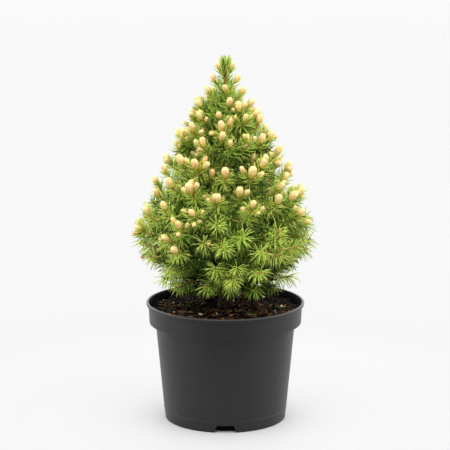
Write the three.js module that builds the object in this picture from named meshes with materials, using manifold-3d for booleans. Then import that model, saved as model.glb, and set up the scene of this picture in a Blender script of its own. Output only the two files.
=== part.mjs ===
// A dwarf white spruce in a round nursery pot: pot, potting mix, trunk, boughs and masses of needles.
// Millimetres, +Z up. The origin is the centre of the pot's foot, on the surface that it stands on.
import * as THREE from "three";
import { mergeVertices } from "three/addons/utils/BufferGeometryUtils.js";
import Module from "manifold-3d";

const wasm = await Module();
wasm.setup();

// ---- Driving dimensions ----
const LIP_RADIUS = 95; // the 19 cm pot, over its lip
const POT_HEIGHT = 143.5;
const TREE_TOP = 440; // the tip of the leader's needles, pot included
const CROWN_RADIUS = 108; // at the widest boughs
const SEAT_GAP = 0.3; // between pieces that touch
const MASS_GAP = 1.6; // between neighbouring masses of needles

// ---- Pot ----
const ROUND_SIDES = 40;
const FOOT_RADIUS = 73.7;
const WALL = 1.3;
const FLOOR_UNDERSIDE = 7.6;
const FLOOR_THICKNESS = 1.6;
const BAND_BOTTOM = 118; // the stepped band round the top, from here up to the lip
const BODY_TOP_RADIUS = 84.3;
const BAND_BOTTOM_RADIUS = 91.5;
const BAND_TOP_RADIUS = 92.5;
const FOOT_BAND_HEIGHT = 13; // the foot is set in a little below this line
const FOOT_SET_IN = 0.4;
const LIP_INNER_RADIUS = 91;

// ---- Drain notches through the foot, with a slot in the floor behind each ----
const NOTCHES = 4;
const NOTCH_HEIGHT = 7.4;
const NOTCH_TOP_WIDTH = 20;
const NOTCH_BOTTOM_WIDTH = 26;
const NOTCH_DEPTH = 10;
const SLOT_WIDTH = 14;
const SLOT_LENGTH = 11;

// ---- Potting mix ----
const MIX_EDGE = 134; // height of the surface at the wall
const MIX_CENTRE = 136; // it is mounded round the trunk
const MIX_ROUGHNESS = 0.7;
const MIX_FLAT_RADIUS = 15; // level where the trunk stands

// ---- Trunk ----
const TRUNK_FOOT = MIX_CENTRE + SEAT_GAP;
const TRUNK_TIP = 428;
const TRUNK_RADIUS = 6.4;
const TRUNK_TIP_RADIUS = 1;
const FLARE = 4.6; // how far the root flare stands out at the foot
const FLARE_HEIGHT = 9;
const FLARE_LOBES = 4;
const TRUNK_SWAY = 1.6;
const TRUNK_SIDES = 8;
const TRUNK_RINGS = 15;

// ---- Crown: a straight cone above, and a belly that rounds in below ----
const CONE_SLOPE = 0.565; // radius for each millimetre below the tip
const BELLY_HEIGHT = 222; // the crown keeps its full radius from here up to the cone
const BELLY_BOTTOM = 150;
const BELLY_POWER = 2.6;
const BARE_RADIUS = 4; // the needle-free core round the trunk, which widens with the crown
const BARE_SHARE = 0.17;

// Whorls of boughs from the lowest up. Each bough leaves the trunk `rise` below the middle of its mass.
const WHORLS = [
  { name: "skirt", count: 6, height: 178, reach: 62, rise: 9, turn: -90 },
  { name: "low", count: 5, height: 216, reach: 70, rise: 20, turn: -58 },
  { name: "middle", count: 5, height: 255, reach: 64, rise: 20, turn: -94 },
  { name: "upper", count: 4, height: 292, reach: 50, rise: 17, turn: -48 },
  { name: "high", count: 4, height: 330, reach: 37, rise: 14, turn: -92 },
  { name: "top", count: 3, height: 366, reach: 23, rise: 10, turn: -60 },
];
const LEADER_HEIGHT = 404;
const TURN_WOBBLE = 5; // degrees that a bough strays from its even place in the whorl
const HEIGHT_WOBBLE = 3.5;
const BOUGH_RADIUS = 2.7; // of the longest boughs where they leave the trunk
const BOUGH_TAPER = 0.7;
const BOUGH_SIDES = 5;
const BOUGH_RINGS = 2;
const BOUGH_ENTRY = 7; // how far a bough runs into the socket in its mass
const UNEVEN = 0.1;
const CORNER_SHARPNESS = 14; // higher squares off the corners of a mass

// ---- Finishes ----
const finish = (color, roughness) => new THREE.MeshStandardMaterial({ color, roughness, metalness: 0 });
const plastic = finish(0x323233, 0.55);
const peat = finish(0x2a2118, 0.95);
const bark = finish(0x7a5236, 0.85);
const needles = finish(0x789a3c, 0.7);
const leaderNeedles = finish(0x8fae4c, 0.7);

// ---- Solids ----
function bare(geometry) {
  geometry.deleteAttribute("normal");
  geometry.deleteAttribute("uv");
  return mergeVertices(geometry, 1e-4);
}

function solidOf(geometry) {
  const merged = bare(geometry);
  const vertProperties = merged.getAttribute("position").array;
  const triVerts = new Uint32Array(merged.index.array);
  return new wasm.Manifold(new wasm.Mesh({ numProp: 3, vertProperties, triVerts }));
}

function geometryOf(solid) {
  const mesh = solid.getMesh();
  return new THREE.BufferGeometry()
    .setAttribute("position", new THREE.BufferAttribute(mesh.vertProperties, 3))
    .setIndex(new THREE.BufferAttribute(mesh.triVerts, 1));
}

function named(name, geometry, material) {
  const mesh = new THREE.Mesh(geometry, material);
  mesh.name = name;
  return mesh;
}

// A profile of [radius, height] points, turned about the vertical axis.
function turned(profile) {
  const points = profile.map(([radius, height]) => new THREE.Vector2(radius, height));
  return new THREE.LatheGeometry(points, ROUND_SIDES).rotateX(Math.PI / 2);
}

// A closed limb along a curve: a cylinder whose rings are moved onto the curve. `grown` makes it
// stouter all round and past its tip, for the hole that the limb sits in.
function limb(curve, radiusAt, sides, rings, grown) {
  const geometry = new THREE.CylinderGeometry(1, 1, 1, sides, rings);
  const position = geometry.getAttribute("position");
  const frames = curve.computeFrenetFrames(rings, false);
  const point = new THREE.Vector3();
  for (let i = 0; i < position.count; i++) {
    const [x, y, z] = [position.getX(i), position.getY(i), position.getZ(i)];
    const ring = Math.round((y + 0.5) * rings);
    const radius = radiusAt(ring / rings, Math.atan2(z, x)) + grown;
    curve.getPointAt(ring / rings, point);
    point.addScaledVector(frames.binormals[ring], x * radius);
    point.addScaledVector(frames.normals[ring], z * radius);
    if (ring === rings) point.addScaledVector(frames.tangents[ring], grown);
    position.setXYZ(i, point.x, point.y, point.z);
  }
  return geometry;
}

// ---- Pot ----
function bodyRadius(height) {
  return THREE.MathUtils.lerp(FOOT_RADIUS, BODY_TOP_RADIUS, height / BAND_BOTTOM);
}

function potProfile() {
  const floorTop = FLOOR_UNDERSIDE + FLOOR_THICKNESS;
  return [
    [0, FLOOR_UNDERSIDE],
    [FOOT_RADIUS - 2, FLOOR_UNDERSIDE],
    [FOOT_RADIUS - 2.6, 0],
    [FOOT_RADIUS - FOOT_SET_IN, 0],
    [bodyRadius(FOOT_BAND_HEIGHT) - FOOT_SET_IN, FOOT_BAND_HEIGHT],
    [bodyRadius(FOOT_BAND_HEIGHT), FOOT_BAND_HEIGHT + 0.4],
    [BODY_TOP_RADIUS, BAND_BOTTOM - 0.5],
    [BAND_BOTTOM_RADIUS - 1, BAND_BOTTOM],
    [BAND_BOTTOM_RADIUS, BAND_BOTTOM + 1.2],
    [BAND_TOP_RADIUS, POT_HEIGHT - 4.8],
    [LIP_RADIUS, POT_HEIGHT - 3],
    [LIP_RADIUS, POT_HEIGHT - 1.2],
    [LIP_RADIUS - 1.4, POT_HEIGHT],
    [LIP_INNER_RADIUS, POT_HEIGHT - 2.4],
    [BAND_BOTTOM_RADIUS - WALL, BAND_BOTTOM + 2.2],
    [BODY_TOP_RADIUS - WALL, BAND_BOTTOM + 1.2],
    [bodyRadius(floorTop) - WALL, floorTop],
    [0, floorTop],
  ];
}

// The notch is a trapezoid cut through the foot, wider at the ground.
function notchCutter() {
  const outline = new THREE.Shape([
    new THREE.Vector2(-NOTCH_BOTTOM_WIDTH / 2, -1),
    new THREE.Vector2(NOTCH_BOTTOM_WIDTH / 2, -1),
    new THREE.Vector2(NOTCH_TOP_WIDTH / 2, NOTCH_HEIGHT),
    new THREE.Vector2(-NOTCH_TOP_WIDTH / 2, NOTCH_HEIGHT),
  ]);
  return new THREE.ExtrudeGeometry(outline, { depth: NOTCH_DEPTH, bevelEnabled: false })
    .rotateX(Math.PI / 2)
    .translate(0, -FOOT_RADIUS + NOTCH_DEPTH / 2, 0);
}

function slotCutter() {
  const middle = -bodyRadius(FLOOR_UNDERSIDE) + WALL + SLOT_LENGTH / 2;
  return new THREE.BoxGeometry(SLOT_WIDTH, SLOT_LENGTH, 2 * FLOOR_THICKNESS + 2).translate(0, middle, FLOOR_UNDERSIDE);
}

function makePot() {
  let solid = solidOf(turned(potProfile()));
  for (let i = 0; i < NOTCHES; i++) {
    const turn = (i * 2 * Math.PI) / NOTCHES;
    solid = solid.subtract(solidOf(notchCutter().rotateZ(turn)));
    solid = solid.subtract(solidOf(slotCutter().rotateZ(turn)));
  }
  return named("pot", geometryOf(solid), plastic);
}

// ---- Potting mix ----
function mixTop(x, y) {
  const radius = Math.hypot(x, y);
  if (radius <= MIX_FLAT_RADIUS + 0.1) return MIX_CENTRE;
  const share = (radius - MIX_FLAT_RADIUS) / (LIP_INNER_RADIUS - MIX_FLAT_RADIUS);
  const bumps = Math.sin(0.11 * x + 0.6) * Math.cos(0.13 * y) + 0.6 * Math.sin(0.23 * x - 0.19 * y);
  const fade = Math.min(1, 4 * share, 5 * (1 - share));
  return THREE.MathUtils.lerp(MIX_CENTRE, MIX_EDGE, share) + MIX_ROUGHNESS * fade * bumps;
}

function makePottingMix() {
  const bottom = FLOOR_UNDERSIDE + FLOOR_THICKNESS + SEAT_GAP;
  const bandInside = BAND_BOTTOM_RADIUS - WALL - SEAT_GAP;
  const rings = [bandInside, 74, 56, 36, MIX_FLAT_RADIUS, 0];
  const geometry = turned([
    [0, bottom],
    [bodyRadius(bottom) - WALL - SEAT_GAP, bottom],
    [BODY_TOP_RADIUS - WALL - SEAT_GAP, BAND_BOTTOM + 1.4],
    [bandInside, BAND_BOTTOM + 2.6],
    ...rings.map((radius) => [radius, MIX_CENTRE]),
  ]);
  const position = geometry.getAttribute("position");
  for (let i = 0; i < position.count; i++) {
    if (position.getZ(i) > MIX_EDGE) position.setZ(i, mixTop(position.getX(i), position.getY(i)));
  }
  return named("potting_mix", geometry, peat);
}

// ---- Tree: its group stands at the trunk's foot, and heights in it are measured from there ----
const aboveFoot = (height) => height - TRUNK_FOOT;

function trunkCurve() {
  const length = aboveFoot(TRUNK_TIP);
  const steps = 6;
  const points = Array.from({ length: steps + 1 }, (_, i) => {
    const share = i / steps;
    const sway = TRUNK_SWAY * Math.sin(Math.PI * share);
    return new THREE.Vector3(sway * Math.sin(5 * share), sway * Math.cos(4 * share), share * length);
  });
  return new THREE.CatmullRomCurve3(points);
}

function trunkRadius(share, angle) {
  const height = share * aboveFoot(TRUNK_TIP);
  const taper = THREE.MathUtils.lerp(TRUNK_RADIUS, TRUNK_TIP_RADIUS, share);
  const lobes = 0.75 + 0.25 * Math.cos(FLARE_LOBES * angle);
  return taper + FLARE * lobes * Math.exp(-height / FLARE_HEIGHT);
}

const TRUNK = trunkCurve();
const trunkLimb = (grown) => limb(TRUNK, trunkRadius, TRUNK_SIDES, TRUNK_RINGS, grown);

// ---- Crown outline ----
function crownRadius(height) {
  const cone = CONE_SLOPE * (aboveFoot(TREE_TOP) - height);
  const drop = Math.max(0, aboveFoot(BELLY_HEIGHT) - height) / (BELLY_HEIGHT - BELLY_BOTTOM);
  const belly = CROWN_RADIUS * Math.max(0, 1 - drop ** BELLY_POWER) ** (1 / BELLY_POWER);
  return Math.min(cone, belly);
}

const bareRadius = (height) => BARE_RADIUS + BARE_SHARE * crownRadius(height);

const inCrown = (point) => Math.hypot(point.x, point.y) < crownRadius(point.z);
const outsideCore = (point) => Math.hypot(point.x, point.y) > bareRadius(point.z);

// How far a point can go from `from` along `direction` while `inside` holds.
function run(from, direction, inside) {
  const step = 2;
  const furthest = 130;
  const at = (distance) => inside(from.clone().addScaledVector(direction, distance));
  let far = step;
  while (far < furthest && at(far)) far += step;
  let near = far - step;
  for (let i = 0; i < 8; i++) {
    const middle = (near + far) / 2;
    if (at(middle)) near = middle;
    else far = middle;
  }
  return near;
}

// ---- Masses of needles ----
function siteOf(whorl, index) {
  const stray = TURN_WOBBLE * Math.sin(7.3 * index + whorl.height);
  const angle = THREE.MathUtils.degToRad(whorl.turn + (360 * index) / whorl.count + stray);
  const height = aboveFoot(whorl.height + HEIGHT_WOBBLE * Math.cos(4.1 * index + whorl.reach));
  return new THREE.Vector3(whorl.reach * Math.cos(angle), whorl.reach * Math.sin(angle), height);
}

const boughs = WHORLS.flatMap((whorl) =>
  Array.from({ length: whorl.count }, (_, index) => ({
    name: `${whorl.name}_${index + 1}`,
    whorl,
    site: siteOf(whorl, index),
  })),
);
const leaderSite = new THREE.Vector3(0, 0, aboveFoot(LEADER_HEIGHT));
const sites = [...boughs.map((bough) => bough.site), leaderSite];

// Distance from a site, along a direction, to the plane half way to a neighbour.
function halfWayTo(site, neighbour, direction) {
  const between = neighbour.clone().sub(site);
  const apart = between.length();
  const closing = between.dot(direction) / apart;
  return closing > 1e-3 ? (apart - MASS_GAP) / 2 / closing : Infinity;
}

// How far a mass reaches from its site along a direction: short of its neighbours, the crown's
// outline and the bare core, with an uneven surface.
function massReach(site, direction) {
  const isLeader = site === leaderSite;
  const limits = sites.filter((other) => other !== site).map((other) => halfWayTo(site, other, direction));
  limits.push(run(site, direction, inCrown));
  if (!isLeader) limits.push(run(site, direction, outsideCore));
  const soft = limits.reduce((sum, limit) => sum + limit ** -CORNER_SHARPNESS, 0) ** (-1 / CORNER_SHARPNESS);
  const [x, y, z] = direction.toArray();
  const wave = Math.sin(5 * x + site.x) + Math.sin(6 * y + site.y) + Math.sin(5.5 * z + site.z);
  const uneven = isLeader ? UNEVEN * (1 - z) : UNEVEN;
  return soft * (1 - uneven * (0.5 + wave / 6));
}

function massGeometry(site) {
  const geometry = bare(new THREE.IcosahedronGeometry(1, site === leaderSite ? 3 : 2));
  const position = geometry.getAttribute("position");
  const direction = new THREE.Vector3();
  for (let i = 0; i < position.count; i++) {
    direction.fromBufferAttribute(position, i).normalize();
    const reach = massReach(site, direction);
    position.setXYZ(i, ...direction.multiplyScalar(reach).add(site).toArray());
  }
  return geometry;
}

// ---- Boughs ----
function boughCurve({ whorl, site }) {
  const foot = TRUNK.getPointAt((site.z - whorl.rise) / aboveFoot(TRUNK_TIP));
  const inward = foot.clone().sub(site).normalize();
  const end = site.clone().addScaledVector(inward, massReach(site, inward) - BOUGH_ENTRY);
  const bend = foot.clone().lerp(end, 0.5);
  bend.z += 0.12 * foot.distanceTo(end);
  return new THREE.QuadraticBezierCurve3(foot, bend, end);
}

function boughLimb(bough, grown) {
  const longest = Math.max(...WHORLS.map((whorl) => whorl.reach));
  const start = BOUGH_RADIUS * (0.35 + (0.65 * bough.whorl.reach) / longest);
  const radiusAt = (share) => start * THREE.MathUtils.lerp(1, BOUGH_TAPER, share);
  return limb(boughCurve(bough), radiusAt, BOUGH_SIDES, BOUGH_RINGS, grown);
}

// ---- Assembly ----
// A mass is placed at its site, with its shape round it.
function massMesh(name, solid, site, material) {
  const mesh = named(name, geometryOf(solid).translate(-site.x, -site.y, -site.z), material);
  mesh.position.copy(site);
  return mesh;
}

function makeTree() {
  const tree = new THREE.Group();
  tree.position.z = TRUNK_FOOT;
  tree.add(named("trunk", trunkLimb(0), bark));
  const trunkHole = solidOf(trunkLimb(SEAT_GAP));

  for (const bough of boughs) {
    const arm = solidOf(boughLimb(bough, 0)).subtract(trunkHole);
    tree.add(named(`bough_${bough.name}`, geometryOf(arm), bark));
    const mass = solidOf(massGeometry(bough.site)).subtract(solidOf(boughLimb(bough, SEAT_GAP)));
    tree.add(massMesh(`needles_${bough.name}`, mass, bough.site, needles));
  }
  const leader = solidOf(massGeometry(leaderSite)).subtract(trunkHole);
  tree.add(massMesh("needles_leader", leader, leaderSite, leaderNeedles));
  return tree;
}

const pottedSpruce = new THREE.Group();
pottedSpruce.add(makePot(), makePottingMix(), makeTree());

export default pottedSpruce;
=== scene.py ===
"""A young dwarf white spruce in a round nursery pot, dressed round its CAD frame. Metres, +Z up."""

import logging
import math
from collections.abc import Callable, Iterator, Mapping, Sequence
from dataclasses import dataclass, field, replace
from enum import Enum
from typing import ClassVar

import bmesh
import bpy
import numpy as np
from mathutils import Euler, Matrix, Vector, noise
from mathutils.bvhtree import BVHTree


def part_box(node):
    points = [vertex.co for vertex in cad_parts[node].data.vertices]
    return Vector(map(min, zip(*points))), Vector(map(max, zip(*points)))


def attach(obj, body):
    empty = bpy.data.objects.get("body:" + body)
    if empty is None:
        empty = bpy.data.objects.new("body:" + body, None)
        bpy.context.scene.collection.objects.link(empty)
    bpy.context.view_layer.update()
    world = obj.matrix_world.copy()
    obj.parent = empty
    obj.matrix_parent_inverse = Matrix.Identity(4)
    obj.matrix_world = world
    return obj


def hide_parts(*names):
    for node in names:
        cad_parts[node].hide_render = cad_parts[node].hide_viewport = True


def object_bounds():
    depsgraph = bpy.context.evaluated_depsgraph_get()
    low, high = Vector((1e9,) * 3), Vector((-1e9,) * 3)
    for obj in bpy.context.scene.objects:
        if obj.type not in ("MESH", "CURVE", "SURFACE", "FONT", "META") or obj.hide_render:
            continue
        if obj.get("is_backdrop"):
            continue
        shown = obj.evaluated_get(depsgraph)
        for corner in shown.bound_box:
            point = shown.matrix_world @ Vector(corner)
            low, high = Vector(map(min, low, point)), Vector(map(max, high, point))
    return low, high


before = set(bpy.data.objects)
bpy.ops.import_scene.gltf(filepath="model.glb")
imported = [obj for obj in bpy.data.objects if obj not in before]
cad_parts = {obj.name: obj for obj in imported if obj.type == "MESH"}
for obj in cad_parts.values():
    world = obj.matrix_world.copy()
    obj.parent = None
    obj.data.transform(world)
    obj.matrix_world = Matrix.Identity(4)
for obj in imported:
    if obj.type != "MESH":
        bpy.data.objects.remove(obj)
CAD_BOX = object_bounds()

log = logging.getLogger("potted_spruce")

MM = 0.001
GOLDEN_ANGLE = math.radians(137.508)
UP = np.array((0.0, 0.0, 1.0))
FLAT = (1, 1, 0)
LEADER = "needles_leader"
Array = np.ndarray
Scale = tuple[float, float, float]


# ---------------------------------------------------------------------------------------------
# Shader maths and finishes
# ---------------------------------------------------------------------------------------------


def linear(colour: str) -> tuple[float, float, float, float]:
    """Turns a colour as it looks on a screen into the shader's linear one.

    Args:
        colour: Six hexadecimal digits, such as "8fae4c".

    Returns:
        Red, green, blue and a full alpha.
    """
    screen = [int(colour[i : i + 2], 16) / 255 for i in (0, 2, 4)]
    red, green, blue = (s / 12.92 if s <= 0.04045 else ((s + 0.055) / 1.055) ** 2.4 for s in screen)
    return red, green, blue, 1.0


class Nodes:
    """A node tree that nodes are added to, all by one method."""

    def __init__(self, tree: bpy.types.NodeTree) -> None:
        """Takes the tree."""
        self.tree = tree

    def node(
        self,
        kind: str,
        settings: Mapping[str, object] | None = None,
        inputs: Mapping[str | int, object] | None = None,
    ) -> bpy.types.Node:
        """Adds any node.

        Args:
            kind: The node's type.
            settings: Its own settings. A ramp's stops are pairs of a position and a colour.
            inputs: Values or links of its sockets, by name or number.

        Returns:
            The new node.
        """
        node = self.tree.nodes.new(kind)
        for name, setting in (settings or {}).items():
            if name == "stops":
                self._set_stops(node, setting)
            else:
                setattr(node, name, setting)
        for name, value in (inputs or {}).items():
            self.feed(node, name, value)
        return node

    def feed(self, node: bpy.types.Node, name: str | int, value: object) -> None:
        """Links a value to a node's socket, or sets the socket to a plain number or colour."""
        if isinstance(value, Value):
            self.tree.links.new(value.socket, node.inputs[name])
        elif isinstance(value, bpy.types.NodeSocket):
            self.tree.links.new(value, node.inputs[name])
        else:
            node.inputs[name].default_value = value

    def value(self, kind: str, output: str | int, inputs: Mapping[str | int, object]) -> "Value":
        """Adds any node, and gives one of its outputs as a number to reckon with."""
        return Value(self, self.node(kind, {}, inputs).outputs[output])

    @staticmethod
    def _set_stops(node: bpy.types.Node, stops: Sequence[tuple[float, str]]) -> None:
        """Gives a colour ramp its stops."""
        elements = node.color_ramp.elements
        while len(elements) < len(stops):
            elements.new(1.0)
        for element, (position, colour) in zip(elements, stops):
            element.position = position
            element.color = linear(colour)


class Value:
    """A number inside a node tree. Python arithmetic on it adds Math nodes."""

    def __init__(self, nodes: Nodes, socket: bpy.types.NodeSocket) -> None:
        """Wraps one output socket of a node."""
        self.nodes = nodes
        self.socket = socket

    def _math(self, operation: str, *values: "Value | float") -> "Value":
        """Adds one Math node for an operation on some values."""
        node = self.nodes.node("ShaderNodeMath", {"operation": operation}, dict(enumerate(values)))
        return Value(self.nodes, node.outputs[0])

    def __add__(self, other: "Value | float") -> "Value":
        """This value plus another."""
        return self._math("ADD", self, other)

    def __sub__(self, other: "Value | float") -> "Value":
        """This value less another."""
        return self._math("SUBTRACT", self, other)

    def __mul__(self, other: "Value | float") -> "Value":
        """This value times another."""
        return self._math("MULTIPLY", self, other)

    def __rsub__(self, other: float) -> "Value":
        """A number less this value."""
        return self._math("SUBTRACT", other, self)

    __radd__ = __add__
    __rmul__ = __mul__

    def between(self, low: float, high: float) -> "Value":
        """How far this value is from low to high, held to the range from 0 to 1."""
        inputs = {"Value": self, "From Min": low, "From Max": high}
        return Value(self.nodes, self.nodes.node("ShaderNodeMapRange", {"clamp": True}, inputs).outputs[0])


class Shader(Nodes):
    """One material and the nodes in it."""

    def __init__(self, name: str) -> None:
        """Starts a material with only an output and a Principled surface."""
        self.material = bpy.data.materials.new(name)
        self.material.use_nodes = True
        super().__init__(self.material.node_tree)
        self.tree.nodes.clear()
        self.surface = self.node("ShaderNodeBsdfPrincipled")
        self.node("ShaderNodeOutputMaterial", {}, {"Surface": self.surface.outputs[0]})

    def place(self, stretch: Scale = (1, 1, 1)) -> bpy.types.NodeSocket:
        """The point on the piece, in metres, stretched by a scale for each axis."""
        coordinates = self.node("ShaderNodeTexCoord").outputs["Object"]
        return self.node("ShaderNodeMapping", {}, {"Vector": coordinates, "Scale": stretch}).outputs[0]

    def grain(self, size: float, detail: float = 4.0, stretch: Scale = (1, 1, 1)) -> Value:
        """Soft noise with features of a size in metres."""
        inputs = {"Vector": self.place(stretch), "Scale": 1 / size, "Detail": detail}
        return self.value("ShaderNodeTexNoise", 0, inputs)

    def cells(self, size: float, stretch: Scale = (1, 1, 1)) -> Value:
        """Distance from the middle of cells of a size in metres."""
        inputs = {"Vector": self.place(stretch), "Scale": 1 / size}
        return self.value("ShaderNodeTexVoronoi", "Distance", inputs)

    def ramp(self, value: Value, stops: Sequence[tuple[float, str]]) -> bpy.types.NodeSocket:
        """A colour picked from stops by a value."""
        return self.node("ShaderNodeValToRGB", {"stops": stops}, {"Fac": value}).outputs["Color"]

    def mixed(self, share: Value, first: object, second: object) -> bpy.types.NodeSocket:
        """Two colours mixed by a share."""
        inputs = {0: share, 6: first, 7: second}
        return self.node("ShaderNodeMix", {"data_type": "RGBA"}, inputs).outputs[2]

    def relief(self, value: Value, depth: float, strength: float = 1.0) -> None:
        """Raises the surface's look by a value, to a depth in metres."""
        inputs = {"Height": value, "Distance": depth, "Strength": strength}
        self.feed(self.surface, "Normal", self.node("ShaderNodeBump", {}, inputs).outputs[0])

    def finish(self, colour: object, roughness: Value | float, specular: float) -> bpy.types.Material:
        """Sets the surface's colour, roughness and shine, and gives the material.

        Args:
            colour: A linear colour, or the link of one that changes over the surface.
            roughness: A number, or a value that changes over the surface.
            specular: How strongly the surface mirrors light.

        Returns:
            The finished material.
        """
        looks = {"Base Color": colour, "Roughness": roughness, "Specular IOR Level": specular}
        for name, value in looks.items():
            self.feed(self.surface, name, value)
        return self.material


@dataclass(frozen=True)
class PlainFinish:
    """One even colour, for small things that are dealt their colours one by one."""

    name: str
    colour: str
    roughness: float = 0.5
    specular: float = 0.4

    def material(self) -> bpy.types.Material:
        """Makes the finish's material."""
        return Shader(self.name).finish(linear(self.colour), self.roughness, self.specular)


@dataclass(frozen=True)
class MouldedPlastic:
    """Charcoal polypropylene: a fine satin grain, faint flow marks and a little dust."""

    name: str = "moulded_plastic"
    colour: str = "090909"
    shade: str = "070707"
    dust: str = "6a6459"
    specular: float = 0.47

    def material(self) -> bpy.types.Material:
        """Makes the finish's material."""
        shader = Shader(self.name)
        clouds = shader.grain(0.035, 3.0, (1, 1, 0.5))
        flow = shader.grain(0.004, 2.0, (1, 1, 0.06))
        specks = shader.grain(0.0022, 2.0).between(0.72, 0.8)
        shaded = (clouds + flow * 0.3).between(0.45, 0.85)
        plain = shader.mixed(shaded, linear(self.colour), linear(self.shade))
        dusty = shader.mixed(specks * 0.35, plain, linear(self.dust))
        shader.relief(shader.grain(0.0011, 2.0) + clouds, 0.00012, 0.5)
        return shader.finish(dusty, clouds * 0.12 + flow * 0.08 + 0.34, self.specular)


@dataclass(frozen=True)
class DampPeat:
    """Damp dark peat with crumbs and fibres of other browns."""

    name: str = "damp_peat"
    black: str = "040302"
    brown: str = "0b0703"
    crumb: str = "1f1408"

    def material(self) -> bpy.types.Material:
        """Makes the finish's material."""
        shader = Shader(self.name)
        clods = shader.grain(0.009, 6.0)
        crumbs = shader.cells(0.0032)
        colour = shader.ramp(clods, ((0.36, self.black), (0.56, self.brown), (0.72, self.crumb)))
        hollowed = shader.mixed(crumbs.between(0.55, 0.9), colour, linear(self.black))
        shader.relief(clods - crumbs * 0.5, 0.0016)
        return shader.finish(hollowed, clods * 0.25 + 0.68, 0.05)


@dataclass(frozen=True)
class RoughBark:
    """Grey-brown bark in thin upright flakes with red-brown cracks."""

    name: str = "rough_bark"
    flake: str = "4e3a28"
    brown: str = "352416"
    crack: str = "150e07"

    def material(self) -> bpy.types.Material:
        """Makes the finish's material."""
        shader = Shader(self.name)
        flakes = shader.cells(0.0026, (1, 1, 0.45))
        fibres = shader.grain(0.0035, 5.0, (1, 1, 0.3))
        colour = shader.ramp(fibres, ((0.32, self.crack), (0.5, self.brown), (0.7, self.flake)))
        cracked = shader.mixed(flakes.between(0.5, 0.85), colour, linear(self.crack))
        shader.relief(fibres - flakes * 0.8, 0.0007)
        return shader.finish(cracked, fibres * 0.2 + 0.7, 0.15)


@dataclass(frozen=True)
class Chip:
    """Shredded bark: red-brown, with a paler grain along the piece."""

    name: str = "bark_chip"
    dark: str = "0c0905"
    middle: str = "341f0e"
    pale: str = "9c6634"

    def material(self) -> bpy.types.Material:
        """Makes the finish's material."""
        shader = Shader(self.name)
        pieces = shader.grain(0.006, 2.0)
        grain = shader.grain(0.0009, 3.0)
        shade = pieces * 0.8 + grain * 0.3
        colour = shader.ramp(shade, ((0.46, self.dark), (0.62, self.middle), (0.8, self.pale)))
        shader.relief(grain, 0.0003)
        return shader.finish(colour, grain * 0.2 + 0.65, 0.08)


@dataclass(frozen=True)
class Paper:
    """The seamless pale sweep that the pot stands on, painted lighter round the pot to lift the shadow that
    the pot and crown cast there, and greyer farther off.

    Its tones are pairs of a distance from the plant's middle, in metres, and a grey.
    """

    name: str = "pale_floor_painted_light"
    tones: tuple[tuple[float, str], ...] = (
        (0.1, "acacac"),
        (0.18, "a2a2a2"),
        (0.25, "9d9d9d"),
        (0.45, "979797"),
        (1.8, "969696"),
        (4.0, "949494"),
    )

    def material(self) -> bpy.types.Material:
        """Makes the finish's material."""
        shader = Shader(self.name)
        distance = shader.node("ShaderNodeVectorMath", {"operation": "LENGTH"}, {0: shader.place()})
        farthest = self.tones[-1][0]
        share = Value(shader, distance.outputs["Value"]).between(0.0, farthest)
        stops = [(reach / farthest, tone) for reach, tone in self.tones]
        # painted light: the grey lightens towards the pot, lifting the plant's shadow on the floor
        return shader.finish(shader.ramp(share, stops), 0.75, 0.2)


class Tint(Enum):
    """The greens of the needles, from the old and shaded to the newest. Each has a body and a tip."""

    DEEP = ("3d591f", "526f26")
    SHADED = ("8eb244", "a4c050")
    LEAF = ("a6c44c", "bacf58")
    FRESH = ("b2c652", "c2d260")
    PALE = ("b4c458", "c2ce64")

    @property
    def number(self) -> int:
        """The tint's place in the palette."""
        return list(Tint).index(self)


def family(kind: str, colours: Mapping[str, str], roughness: float, specular: float) -> list[PlainFinish]:
    """Plain finishes of one kind of thing, one for each of its named colours."""
    return [PlainFinish(f"{kind}_{name}", colour, roughness, specular) for name, colour in colours.items()]


def green_finishes() -> list[PlainFinish]:
    """Body and tip finishes of every tint, in palette order."""
    greens: dict[str, str] = {}
    for tint in Tint:
        name = tint.name.lower()
        greens[name], greens[f"{name}_tip"] = tint.value
    return family("needle", greens, 0.55, 0.16)


# ---------------------------------------------------------------------------------------------
# Paths and joined meshes
# ---------------------------------------------------------------------------------------------


def unit(vectors: Array) -> Array:
    """Vectors brought to length one."""
    return vectors / np.maximum(np.linalg.norm(vectors, axis=-1, keepdims=True), 1e-12)


def bezier(controls: Sequence[Array], count: int) -> Array:
    """Points along a Bezier curve.

    Args:
        controls: Its control points, any number of them.
        count: How many points to give.

    Returns:
        The points, one row each.
    """
    shares = np.linspace(0, 1, count)[:, None]
    points = [np.repeat(np.asarray(c, float)[None], count, 0) for c in controls]
    while len(points) > 1:
        points = [a * (1 - shares) + b * shares for a, b in zip(points, points[1:])]
    return points[0]


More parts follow.
